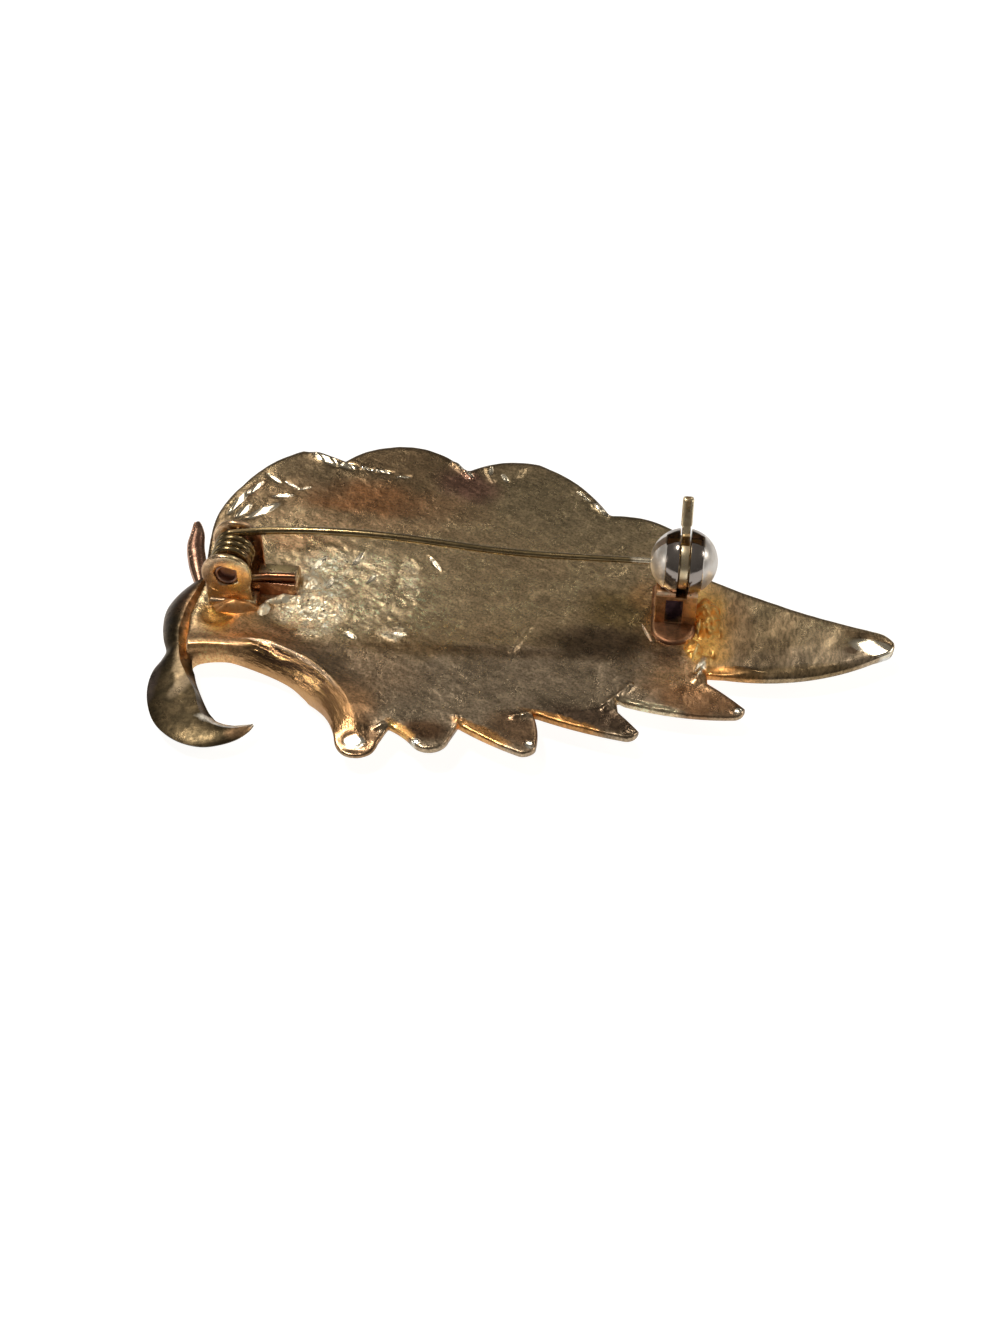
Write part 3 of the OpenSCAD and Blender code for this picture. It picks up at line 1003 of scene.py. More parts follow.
        # Painted highlight: pale colour on the small facets that mirror a lamp, but not on those beside the
        # hinge and the catch
        glint = s.between(s.mark("glint"), 0.15, 0.6)
        highlight_paint = s.times(glint, s.between(y, -7.0, -6.0, 0.0, 0.85))
        for centre, reach, turn in self.unpainted_facets:
            highlight_paint = s.times(highlight_paint, s.maths("SUBTRACT", 1.0, s.zone(where, centre, reach, turn, 0.3)))
        colour = s.blend(highlight_paint, colour, (1.0, 0.9, 0.7))
        # The rounded wall beside the stem, with file marks that run along it; their dark and golden bands
        # of colour are partly painted reflection
        off = s.vector("SUBTRACT", where, (*form.hollow_centre, 0.0))
        out = s.length(s.stretched(off, (1.0, 1.0, 0.0)))
        edge = form.hollow_radius + form.wall_w
        wall = s.between(out, edge - 0.1, edge + 0.4, 1.0, 0.0)
        wall = s.times(wall, s.between(x, -22.6, -20.4, 0.15, 1.0))
        wall = s.times(wall, s.between(y, -16.4, -14.4))
        lane = s.add("CombineXYZ")
        s.put(lane, X=s.times(out, 3.2), Y=s.times(x, 0.3), Z=s.times(y, 0.35))
        marks = s.noise(lane.outputs[0], 1.0, 4.0, 0.65)
        ochre = s.blend(s.between(marks, 0.42, 0.56), (0.14, 0.065, 0.028), (0.8, 0.47, 0.19))
        # Painted highlight along the wall's top edge, and painted reflection of the floor in a lane by the
        # hollow edge
        crest_highlight = s.maths("ABSOLUTE", s.maths("SUBTRACT", out, edge - 0.02))
        crest_highlight = s.times(s.between(crest_highlight, 0.06, 0.18, 0.8, 0.0), s.between(y, -13.4, -11.6))
        ochre = s.scaled(ochre, s.between(x, -21.0, -17.0, 0.5, 1.35))
        ochre = s.blend(crest_highlight, ochre, (0.98, 0.72, 0.5))
        low_lane_reflection = s.between(out, form.hollow_radius + 0.25, form.hollow_radius + 0.6, 0.8, 0.0)
        ochre = s.blend(low_lane_reflection, ochre, (0.62, 0.33, 0.13))
        smooth_part = s.zone(loose, (-12.8, -14.4), (2.4, 3.0), 0, 0.4)
        ochre = s.blend(s.times(smooth_part, 0.85), ochre, (0.52, 0.28, 0.12))
        colour = s.blend(s.times(wall, 0.85), colour, ochre)
        # Painted dark reflection: a thin dark line along the upper edges
        line = s.times(s.mark("rim"), s.between(y, -1.6, 0.2, 0.0, 0.9))
        colour = s.blend(line, colour, self.rim)
        # Small pits and grain
        dots = s.put(s.add("TexVoronoi"), Vector=where, Scale=1.0 / 0.6)
        hole = s.between(dots.outputs["Distance"], 0.13, 0.2, 1.0, 0.0)
        rare = s.between(s.noise(where, 1.1, 1.0, 0.5), 0.52, 0.56)
        hole = s.times(s.times(hole, rare), s.between(pale, 0.2, 0.5))
        colour = s.blend(s.times(hole, 0.95), colour, (0.03, 0.02, 0.012))
        grain = s.noise(where, self.grain, 3.0, 0.62)
        coarse = s.noise(where, 0.55, 3.0, 0.55)
        still = s.maths("SUBTRACT", 1.0, s.times(glint, 0.85))
        calm = s.times(s.between(out, edge - 0.3, edge + 0.6, 0.25, 1.0), still)
        calm = s.times(calm, s.between(toward_tip, 0.0, 1.0, 1.0, 0.35))
        rough_zone = s.maths("ADD", s.times(s.times(pale, 1.8), still), s.times(calm, 0.6))
        normal = s.bump(s.times(grain, calm), self.grain_depth)
        normal = s.bump(s.times(coarse, rough_zone), self.grain_depth * 4.6, normal)
        normal = s.bump(s.times(marks, wall), 0.13, normal)
        normal = s.bump(s.times(hole, -1.0), 0.06, normal)
        roughness = s.between(cloud, 0.3, 0.7, 0.24, 0.34)
        for value, more in ((wall, -0.06), (pale, 0.18), (glint, -0.08)):
            roughness = s.maths("ADD", roughness, s.times(value, more))
        for centre, reach, more in self.satin:
            roughness = s.maths("ADD", roughness, s.times(s.zone(loose, centre, reach, 0, 0.5), more))
        s.put(s.shader, Metallic=s.between(pale, 0.0, 0.9, 1.0, 0.8))
        return s.finish(colour, roughness, normal)


@dataclass(frozen=True)
class PaintedGold:
    """Smooth gold plate whose colour differs from place to place.

    Attributes:
        name: The material's name.
        gold: Main colour.
        dull: Colour of the clouded places.
        zones: Places where the colour differs, painted light and shade among them.
        low: Least roughness.
        high: Greatest roughness.
        mottle: Size of the mottling in millimetres.
        strength: How strong the mottling is.
        depth: Depth of the mottling in millimetres.
    """

    name: str
    gold: Row
    dull: Row
    zones: tuple[Zone, ...]
    low: float = 0.18
    high: float = 0.32
    mottle: float = 0.5
    strength: float = 0.5
    depth: float = 0.03

    def build(self) -> Material:
        """Makes the material."""
        s = FinishSheet(self.name)
        where = s.place()
        close = s.wobbled(where, 0.6, 0.25)
        cloud = s.noise(where, 1.1, 4.0, 0.6)
        colour = s.blend(s.between(cloud, 0.4, 0.6), self.gold, self.dull)
        colour = s.painted(close, close, colour, self.zones)
        spots = s.noise(where, self.mottle, 4.0, 0.68)
        mottle = s.between(spots, 0.34, 0.66, 1 - self.strength, 1 + self.strength)
        colour = s.scaled(colour, mottle)
        normal = s.bump(spots, self.depth)
        normal = s.bump(s.noise(where, 0.16, 2.0, 0.6), self.depth / 5, normal)
        return s.finish(colour, s.between(cloud, 0.3, 0.7, self.low, self.high), normal)


@dataclass(frozen=True)
class SmoothGold:
    """Smooth gold plate with soft clouding, faint scratches and a fine grain.

    Attributes:
        name: The material's name.
        gold: Main colour.
        dull: Colour of the clouded places.
        low: Least roughness.
        high: Greatest roughness.
        grain: Size of the grain in millimetres.
        depth: Depth of the grain in millimetres.
        scratch: Scale of the scratches on each axis.
    """

    name: str
    gold: Row
    dull: Row
    low: float
    high: float
    grain: float = 0.18
    depth: float = 0.006
    scratch: Row = (2.0, 9.0, 9.0)

    def build(self) -> Material:
        """Makes the material."""
        s = FinishSheet(self.name)
        where = s.place()
        cloud = s.noise(where, 1.3, 4.0, 0.6)
        fine = s.noise(where, 0.3, 2.0, 0.6)
        colour = s.blend(s.between(cloud, 0.38, 0.64), self.gold, self.dull)
        colour = s.blend(s.between(fine, 0.5, 0.75, 0.0, 0.5), colour, self.dull)
        lines = s.noise(s.stretched(where, self.scratch), 1.0, 3.0, 0.6)
        grain = s.noise(where, self.grain, 2.0, 0.55)
        normal = s.bump(grain, self.depth)
        normal = s.bump(lines, self.depth * 0.8, normal)
        return s.finish(colour, s.between(cloud, 0.3, 0.7, self.low, self.high), normal)


@dataclass(frozen=True)
class LumpySolder:
    """Solder that has flowed and set in lumps.

    Attributes:
        name: The material's name.
        bright: Colour on the lumps.
        deep: Colour between them.
        lump: Size of the lumps in millimetres.
        depth: Depth of the lumps in millimetres.
        metal: How much it mirrors, the rest being frosted.
    """

    name: str
    bright: Row
    deep: Row
    lump: float
    depth: float
    metal: float = 0.5

    def build(self) -> Material:
        """Makes the material."""
        s = FinishSheet(self.name, self.metal)
        where = s.place()
        lumps = s.noise(where, self.lump, 4.0, 0.62, 0.6)
        colour = s.blend(s.between(lumps, 0.35, 0.62), self.deep, self.bright)
        dots = s.noise(where, 0.16, 1.0, 0.5)
        pit = s.between(dots, 0.68, 0.74, 0.0, 0.9)
        colour = s.blend(pit, colour, (0.08, 0.05, 0.03))
        normal = s.bump(lumps, self.depth)
        normal = s.bump(s.noise(where, 0.12, 2.0, 0.5), self.depth * 0.2, normal)
        return s.finish(colour, s.between(lumps, 0.3, 0.7, 0.54, 0.38), normal)


@dataclass(frozen=True)
class PolishedSilver:
    """Polished pale plate, almost a mirror, with fine wear.

    Attributes:
        bright: Colour of the caps.
        worn: Colour where they are worn.
        barrel: Colour of the band between the caps.
        middle: Where the middle of that band is along X.
        half: Its half width.
    """

    bright: Row = (0.92, 0.87, 0.82)
    worn: Row = (0.74, 0.67, 0.58)
    barrel: Row = (0.42, 0.37, 0.34)
    middle: float = 11.7
    half: float = 1.4

    def build(self) -> Material:
        """Makes the material, with the darker barrel between the two polished caps."""
        s = FinishSheet("polished_silver")
        where = s.place()
        x, _, z = s.split(where)
        cloud = s.noise(where, 1.1, 4.0, 0.6)
        colour = s.blend(s.between(cloud, 0.45, 0.75), self.bright, self.worn)
        off = s.maths("ABSOLUTE", s.maths("SUBTRACT", x, self.middle))
        band = s.between(off, self.half - 0.05, self.half + 0.05, 1.0, 0.0)
        colour = s.blend(band, colour, self.barrel)
        # Painted reflection: the ball's lower part takes the leaf's reddish brown
        colour = s.blend(s.between(z, 5.2, 6.6, 0.75, 0.0), colour, (0.62, 0.3, 0.16))
        lines = s.noise(s.stretched(where, (7.0, 1.6, 1.6)), 1.0, 3.0, 0.6)
        normal = s.bump(band, 0.03, s.bump(lines, 0.0016))
        s.put(s.shader, Metallic=s.between(band, 0.0, 1.0, 0.75, 0.95))
        satin = s.maths("SUBTRACT", s.between(cloud, 0.3, 0.7, 0.3, 0.38), s.times(band, 0.2))
        return s.finish(colour, satin, normal)


@dataclass(frozen=True)
class PaleFloor:
    """Smooth pale paper that the brooch lies on.

    Attributes:
        tone: Its colour.
        glow: Light of its own toward the camera, which keeps it white.
        mirrored: Light of its own toward the metal.
    """

    tone: Row = (0.3, 0.3, 0.295)
    glow: float = 0.95
    mirrored: float = 0.55

    def build(self) -> Material:
        """Makes the material."""
        s = FinishSheet("pale_floor", 0.0)
        seen = s.add("LightPath").outputs["Is Camera Ray"]
        glow = s.between(seen, 0.0, 1.0, self.mirrored, self.glow)
        s.put(s.shader, Emission_Color=(1.0, 0.99, 0.97, 1.0), Emission_Strength=glow)
        s.put(s.shader, Specular_IOR_Level=0.0)
        fibre = s.noise(s.place(), 2.5, 3.0, 0.6)
        colour = s.blend(fibre, self.tone, (0.31, 0.31, 0.305))
        return s.finish(colour, 0.8, s.bump(fibre, 0.01))


# Making objects and setting them on the frame


class Bench:
    """Makes objects from skins, dresses them and sets them on the frame's bodies."""

    def __init__(self, low: Vector, high: Vector) -> None:
        """Remembers the corners, in metres, of the box that nothing may leave."""
        self.low = np.array(low) / MM
        self.high = np.array(high) / MM

    def raw(self, name: str, skin: MeshData) -> bpy.types.Object:
        """Makes an object in millimetres, with its corners merged and its faces outward.

        Args:
            name: The object's name.
            skin: Its skin.

        Returns:
            The object.
        """
        mesh = bpy.data.meshes.new(name)
        mesh.from_pydata(skin.verts.tolist(), [], [list(f) for f in skin.faces])
        for mark, values in skin.marks.items():
            mesh.attributes.new(mark, "FLOAT", "POINT").data.foreach_set("value", values)
        work = bmesh.new()
        work.from_mesh(mesh)
        bmesh.ops.remove_doubles(work, verts=work.verts, dist=1e-5)
        bmesh.ops.dissolve_degenerate(work, edges=work.edges, dist=1e-6)
        bmesh.ops.recalc_face_normals(work, faces=work.faces)
        work.to_mesh(mesh)
        work.free()
        made = bpy.data.objects.new(name, mesh)
        bpy.context.scene.collection.objects.link(made)
        return made

    def cut(self, target: bpy.types.Object, tools: Sequence[MeshData]) -> None:
        """Cuts tools out of an object.

        Args:
            target: The object.
            tools: What to take away.
        """
        for skin in tools:
            tool = self.raw("tool", skin)
            step = target.modifiers.new("cut", "BOOLEAN")
            step.operation = "DIFFERENCE"
            step.solver = "EXACT"
            step.object = tool
            graph = bpy.context.evaluated_depsgraph_get()
            mesh = bpy.data.meshes.new_from_object(target.evaluated_get(graph))
            target.modifiers.clear()
            target.data = mesh
            bpy.data.objects.remove(tool)

    def dress(
        self,
        made: bpy.types.Object,
        finish: Material,
        body: Body,
        slot: Slot,
        sharp: float = 40.0,
        even: bool = False,
    ) -> None:
        """Scales an object to metres, shades it, dresses it and sets it on its body.

        Args:
            made: The object, still in millimetres.
            finish: Its material.
            body: The body that it rides on.
            slot: The record's slot that its finish stands for; not used.
            sharp: Angle in degrees above which an edge stays crisp.
            even: Whether flat faces keep their own direction beside rounded edges.
        """
        mesh = made.data
        flat = np.zeros(3 * len(mesh.vertices))
        mesh.vertices.foreach_get("co", flat)
        points = np.clip(flat.reshape(-1, 3), self.low, self.high) * MM
        mesh.vertices.foreach_set("co", points.reshape(-1))
        mesh.polygons.foreach_set("use_smooth", [True] * len(mesh.polygons))
        mesh.set_sharp_from_angle(angle=math.radians(sharp))
        mesh.materials.clear()
        mesh.materials.append(finish)
        if even:
            made.modifiers.new("even", "WEIGHTED_NORMAL").keep_sharp = True
        mesh.update()
        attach(made, body.value)
        LOG.info("%s: %d faces on %s", made.name, len(mesh.polygons), body.value)

    def piece(
        self, name: str, skin: MeshData, finish: Material, body: Body, slot: Slot, **look: float
    ) -> bpy.types.Object:
        """Makes and dresses an object.

        Args:
            name: The object's name.
            skin: Its skin.
            finish: Its material.
            body: The body that it rides on.
            slot: The record's slot that its finish stands for.
            look: Its sharp and even, as dress takes them.

        Returns:
            The object.
        """
        made = self.raw(name, skin)
        self.dress(made, finish, body, slot, **look)
        return made


# The cast leaf


@dataclass
class LeafPlate:
    """The leaf itself: scalloped above, toothed below, with its rounded wall by the stem.

    Attributes:
        form: Its outline and heights.
        step: Longest piece of its outline.
        cell: Distance between the points of its surfaces.
        fine_cell: The same where creases and solder lie.
        insets: Distances from the outline of the rows of points along the edge.
        edge_round: Radius of its edges.
        droop: How far the back falls toward its edges, and from how far in.
        lanes: Ridges along the wall: distance from the hollow edge, half width, height.
        creases: Raised creases on the back: x, y of one end and the other, height, half width.
        facets: Small facets of the back by the lamp that they mirror: x, y, reach along and across,
            turn, share of the slope.
        veins: Grooves on the front, as x, y of one end and the other.
    """

    form: LeafForm
    step: float = 0.22
    cell: float = 0.24
    fine_cell: float = 0.13
    insets: Row = (0.04, 0.1, 0.17, 0.26)
    edge_round: float = 0.2
    droop: Row = (0.17, 0.8)
    lanes: tuple[Row, ...] = (
        (1.75, 0.2, 0.12), (1.3, 0.18, -0.07), (0.95, 0.16, 0.08), (0.55, 0.15, -0.05),
    )
    creases: tuple[Row, ...] = (
        (-7.9, 15.4, -6.3, 13.9, 0.2, 0.24), (-5.0, 15.2, -4.4, 13.6, 0.12, 0.2),
        (-1.9, 15.4, -2.1, 14.4, 0.09, 0.16), (4.4, 11.6, 5.5, 10.5, 0.16, 0.24),
        (6.6, -11.4, 8.3, -8.7, 0.22, 0.26), (13.2, -7.7, 13.8, -5.4, 0.22, 0.28),
        (0.4, -3.4, -0.8, -6.3, 0.05, 0.2), (-8.4, 3.9, -7.2, 2.2, 0.08, 0.17),
        (-9.6, 3.4, -9.0, 2.4, 0.07, 0.17), (-9.9, -15.1, -8.9, -14.7, 0.16, 0.24),
        (-4.0, -14.6, -4.1, -13.5, 0.16, 0.22), (0.0, -13.0, 1.2, -12.5, 0.16, 0.22),
        (3.4, -12.4, 6.8, -11.4, 0.05, 0.2),
    )
    facets: tuple[tuple[Glint, tuple[Row, ...]], ...] = (
        (Glint.LEFT, (
            (-25.0, 8.5, 1.5, 0.34, 71, 1), (-22.7, 7.7, 1.4, 0.44, 40, 1),
            (-24.3, 7.5, 0.9, 0.34, 62, 0.8), (-23.9, 10.4, 0.9, 0.26, 60, 0.9),
            (-21.5, 9.8, 0.8, 0.22, 5, 1), (-21.0, 11.2, 0.7, 0.14, -30, 1),
            (-19.9, 10.9, 0.5, 0.1, 20, 1), (-22.7, 11.8, 0.8, 0.22, -39, 1),
            (-4.6, 14.8, 0.5, 0.18, 90, 1), (-7.8, 3.0, 0.8, 0.18, -55, 1),
            (-9.6, -5.4, 0.5, 0.25, -10, 1), (-18.6, -2.1, 1.0, 0.24, 30, 0.9),
            (-13.2, -5.9, 0.5, 0.25, -30, 1), (-17.0, 2.0, 0.9, 0.3, 60, 1),
            (-15.8, -0.2, 0.6, 0.26, 80, 1),
        )),
        (Glint.OVER, (
            (-23.7, -5.2, 1.2, 1.0, 0, 0.22), (-11.25, -16.45, 0.72, 0.55, 0, 1),
            (-6.8, -16.2, 0.32, 0.26, 0, 0.9), (1.4, -15.5, 0.32, 0.26, 0, 0.9),
            (8.4, -13.5, 0.28, 0.22, 0, 0.9), (16.3, -10.3, 0.32, 0.26, 0, 0.9),
            (9.8, -10.5, 2.0, 0.26, -8, 0.4), (15.8, -6.3, 1.9, 0.42, 0, 0.6),
            (14.7, -0.6, 0.5, 0.2, 80, 0.8), (14.9, -2.2, 0.5, 0.16, 95, 0.8),
            (14.4, -4.4, 0.6, 0.18, 100, 0.8), (13.4, -6.3, 0.6, 0.2, 75, 0.6),
            (-21.0, -8.6, 1.4, 0.2, 2, 0.5),
        )),
        (Glint.RIGHT, (
            (-15.0, 13.9, 0.6, 0.12, -12, 1), (-11.9, 13.2, 0.5, 0.1, 10, 0.9),
            (-3.4, 14.1, 0.5, 0.1, -60, 0.9), (3.4, 12.6, 0.7, 0.12, -45, 0.9),
            (-18.6, 14.7, 1.3, 0.46, -24, 1), (-16.9, 14.05, 0.8, 0.36, -12, 1),
            (-13.7, 13.8, 0.6, 0.18, -5, 1), (-6.9, 14.7, 1.1, 0.2, -48, 1),
            (5.0, 11.0, 0.8, 0.16, -45, 0.9), (26.5, -3.1, 1.7, 0.75, -12, 1),
            (-14.1, 2.9, 0.8, 0.24, 70, 1), (-12.6, 0.6, 0.6, 0.2, 60, 0.9),
        )),
    )
    veins: tuple[Row, ...] = (
        (-16.0, 2.0, -20.5, 12.5), (-11.0, 1.2, -12.6, 14.0), (-5.0, 0.6, -3.4, 13.2),
        (1.5, 0.0, 7.6, 8.6), (8.0, -1.0, 14.6, 2.6), (-14.0, 1.6, -12.6, -12.0),
        (-9.0, 1.0, -7.6, -12.5), (-4.0, 0.4, 0.6, -12.6), (2.0, -0.2, 7.6, -10.4),
        (7.5, -1.0, 14.2, -8.2),
    )

    def grid(self, loop: np.ndarray) -> np.ndarray:
        """Points inside the outline: rows along the edge, and an even field between them.

        Args:
            loop: The outline.

        Returns:
            The points inside.
        """
        after = np.roll(loop, -1, 0)
        kept = []
        for inset in self.insets:
            moved = shrunk(loop, inset)
            away = distance_to_segments(moved, loop, after)
            kept.append(moved[away > 0.9 * inset])
        low, high = loop.min(0), loop.max(0)
        for cell, fine in ((self.cell, False), (self.fine_cell, True)):
            rows = []
            for j, y in enumerate(np.arange(low[1], high[1], cell * math.sqrt(3) / 2)):
                xs = np.arange(low[0] + (j % 2) * cell / 2, high[0], cell)
                rows.append(np.stack([xs, np.full_like(xs, y)], 1))
            spots = np.vstack(rows)
            spots = spots[self.detailed(spots) == fine]
            spots = spots[inside(spots, loop)]
            away = distance_to_segments(spots, loop, after)
            kept.append(spots[away > self.insets[-1] + 0.45 * cell])
        points = np.vstack(kept)
        keys = np.round(points / 0.03).astype(int)
        return points[np.unique(keys, axis=0, return_index=True)[1]]

    def base(self, x: np.ndarray, y: np.ndarray) -> np.ndarray:
        """Height of the back with its first tooth bent down."""
        bent = np.exp(-(((x + 11.7) / 3.0) ** 4)) * np.clip((-13.4 - y) / 3.6, 0, 1) ** 1.5
        return self.form.back(x, y) - 0.85 * bent

    def glints(self, x: np.ndarray, y: np.ndarray) -> tuple[np.ndarray, np.ndarray]:
        """The small facets that mirror a lamp, each broken into a row of shorter ones.

        Args:
            x: Places along X.
            y: Places along Y.

        Returns:
            Heights to add, and how much of each place is facet.
        """
        lift, share = np.zeros_like(x), np.zeros_like(x)
        flat = [(lamp, row) for lamp, rows in self.facets for row in rows]
        for lamp, (fx, fy, along, across, turn, part) in flat:
            a = math.radians(turn)
            count = max(1, round(along / across / 3.6))
            px, py = np.array([fx - 0.1, fx + 0.1, fx, fx]), np.array([fy, fy, fy - 0.1, fy + 0.1])
            near = self.base(px, py)
            slope = lamp.slope(fx, fy) - np.array([near[1] - near[0], near[3] - near[2]]) / 0.2
            for k in range(count):
                shift = along * ((2 * k + 1) / count - 1)
                side = 0.3 * across * math.sin(2.4 * k + fx)
                dx = x - fx - shift * math.cos(a) + side * math.sin(a)
                dy = y - fy - shift * math.sin(a) - side * math.cos(a)
                u = dx * math.cos(a) + dy * math.sin(a)
                v = dy * math.cos(a) - dx * math.sin(a)
                window = np.exp(-(((u / (along / count + 0.1)) ** 2 + (v / across) ** 2) ** 2))
                lift = lift + part * (slope[0] * dx + slope[1] * dy) * window
                share = np.maximum(share, window)
        return lift, share

    def detailed(self, points: np.ndarray) -> np.ndarray:
        """Tells which points lie near a crease, a facet, the solder or the wall."""
        x, y = points[:, 0], points[:, 1]
        near = self.solder_zone(x, y) > 0.02
        near |= self.glints(x, y)[1] > 0.02
        near |= self.form.from_hollow(x, y) < self.form.wall_w + 0.6
        for x0, y0, x1, y1, _, width in self.creases:
            away = distance_to_segments(points, (x0, y0), (x1, y1))
            near |= away < 2.2 * width + 0.1
        return near

    def relief(self, x: np.ndarray, y: np.ndarray, edge: np.ndarray) -> np.ndarray:
        """What the back has beyond its plain form.

        Args:
            x: Places along X.
            y: Places along Y.
            edge: Distances from the outline.

        Returns:
            Heights to add.
        """
        d = self.form.from_hollow(x, y)
        fade = np.clip((d - self.form.wall_w - 0.3) / 1.4, 0, 1)
        facet, share = self.glints(x, y)
        lift = 0.05 * ripple(x, y, 8.0, 3) + 0.03 * ripple(x, y, 3.0, 5)
        lift = lift + 0.012 * ripple(x, y, 1.2, 8)
        lift = lift * (1 - 0.85 * share)
        depth, reach = self.droop
        depth = depth * (1 - 0.6 * np.clip((-10.0 - y) / 2.0, 0, 1))
        lift = lift - depth * ((1 - np.minimum(edge, reach) / reach) ** 2 - 0.3) * (1 - share) - 0.3 * depth
        table = np.array(self.form.body)
        beyond = np.interp(x, table[:, 0], table[:, 1]) - y
        step = np.clip(beyond / 0.5, 0, 1)
        past = step**2 * (3 - 2 * step)
        lift = lift - np.where(x > -10.5, 0.05 * past + 0.03 * np.maximum(0, beyond), 0)
        places = np.stack([x, y], 1)
        for x0, y0, x1, y1, height, width in self.creases:
            away = distance_to_segments(places, (x0, y0), (x1, y1))
            uneven = 1 + 0.5 * ripple(x, y, 0.75, 17)
            lift = lift + height * uneven * np.exp(-((away / width) ** 2))
        return lift * fade + self.wall_lanes(x, y, d) + facet

    def wall_lanes(self, x: np.ndarray, y: np.ndarray, d: np.ndarray) -> np.ndarray:
        """Ridges that run along the rounded wall beside the stem.

        Args:
            x: Places along X.
            y: Places along Y.
            d: Distances from the hollow edge.

        Returns:
            Heights to add.
        """
        along = np.clip((x + 21.8) / 2.4, 0, 1) * np.clip((y + 13.6) / 2.6, 0, 1)
        wave = 0.1 * ripple(x, y, 5.0, 31)
        total = np.zeros_like(x)
        for place, width, height in self.lanes:
            total = total + height * np.exp(-(((d - place - wave) / width) ** 2))
        fine = 0.02 * np.sin(d * 19.0 + 2.5 * ripple(x, y, 4.0, 32)) * np.clip(1.6 - d, 0, 1)
        return along * (total + fine * np.clip(d / 0.3, 0, 1))

    def rough(self, x: np.ndarray, y: np.ndarray) -> np.ndarray:
        """Height of the rough solder beside the hinge."""
        zone = self.solder_zone(x, y)
        folds = np.exp(-(((x + 15.2) / 2.6) ** 2 + ((y - 1.6) / 2.4) ** 2))
        coarse = ripple(x, y, 1.1, 21) + 0.6 * ripple(x, y, 0.6, 22)
        lean = 0.1 * (x + 16.8) + 0.3 * (y + 3.4)
        mound = lean * np.exp(-(((x + 16.8) / 2.6) ** 4 + ((y + 3.4) / 1.9) ** 4))
        return zone * 0.05 * coarse + folds * 0.11 * ripple(x + 0.5 * y, y, 1.7, 23) + mound

    def solder_zone(self, x: np.ndarray, y: np.ndarray) -> np.ndarray:
        """Where the rough solder lies, from 0 to 1."""
        round_hinge = np.exp(-((((x + 16.0) / 3.3) ** 2 + ((y + 1.0) / 5.0) ** 2) ** 2))
        spread = 0.6 * np.exp(-((((x + 12.0) / 3.6) ** 2 + ((y + 1.0) / 4.5) ** 2) ** 2))
        return np.maximum(round_hinge, spread)

    def skin(self) -> MeshData:
        """Builds the leaf's skin."""
        loop = self.form.loop(self.step)
        count = len(loop)
        points = np.vstack([loop, self.grid(loop)])
        edges = [(k, (k + 1) % count) for k in range(count)]
        flat = [Vector((float(p[0]), float(p[1]))) for p in points]
        made = delaunay_2d_cdt(flat, edges, [], 1, 1e-6)
        x, y = np.array([p[:] for p in made[0]]).T
        places = np.stack([x, y], 1)
        spot = {ids[0]: k for k, ids in enumerate(made[3])}
        ring = [spot[k] for k in range(count)]
        edge = distance_to_segments(places, loop, np.roll(loop, -1, 0))
        edge[ring] = 0.0
        radius = np.minimum(self.edge_round, 0.42 * self.form.skin(x, y))
        inner = np.clip(radius - edge, 0, None)
        fall = radius - np.sqrt(np.maximum(0, radius**2 - inner**2))
        top = self.base(x, y) + self.relief(x, y, edge) + self.rough(x, y) - fall
        low = self.form.front(x, y)
        for x0, y0, x1, y1 in self.veins:
            away = distance_to_segments(places, (x0, y0), (x1, y1))
            low = low + 0.14 * np.exp(-((away / 0.24) ** 2))
        low = np.minimum(low + fall, top - 0.1)
        n = len(x)
        verts = np.vstack([np.stack([x, y, top], 1), np.stack([x, y, low], 1)])
        back = [tuple(f) for f in made[2]]
        front = [tuple(n + i for i in reversed(f)) for f in back]
        side = [(n + a, n + b, b, a) for a, b in zip(ring, ring[1:] + ring[:1])]
        # This mark sets where the finish paints the dark reflection along the upper edges
        rim = np.clip(1.25 - edge / 0.46, 0, 1)
        marks = {"rim": rim, "glint": self.glints(x, y)[1]}
        marks = {name: np.concatenate([values, 0 * values]) for name, values in marks.items()}
        return MeshData(verts, back + front + side, marks)


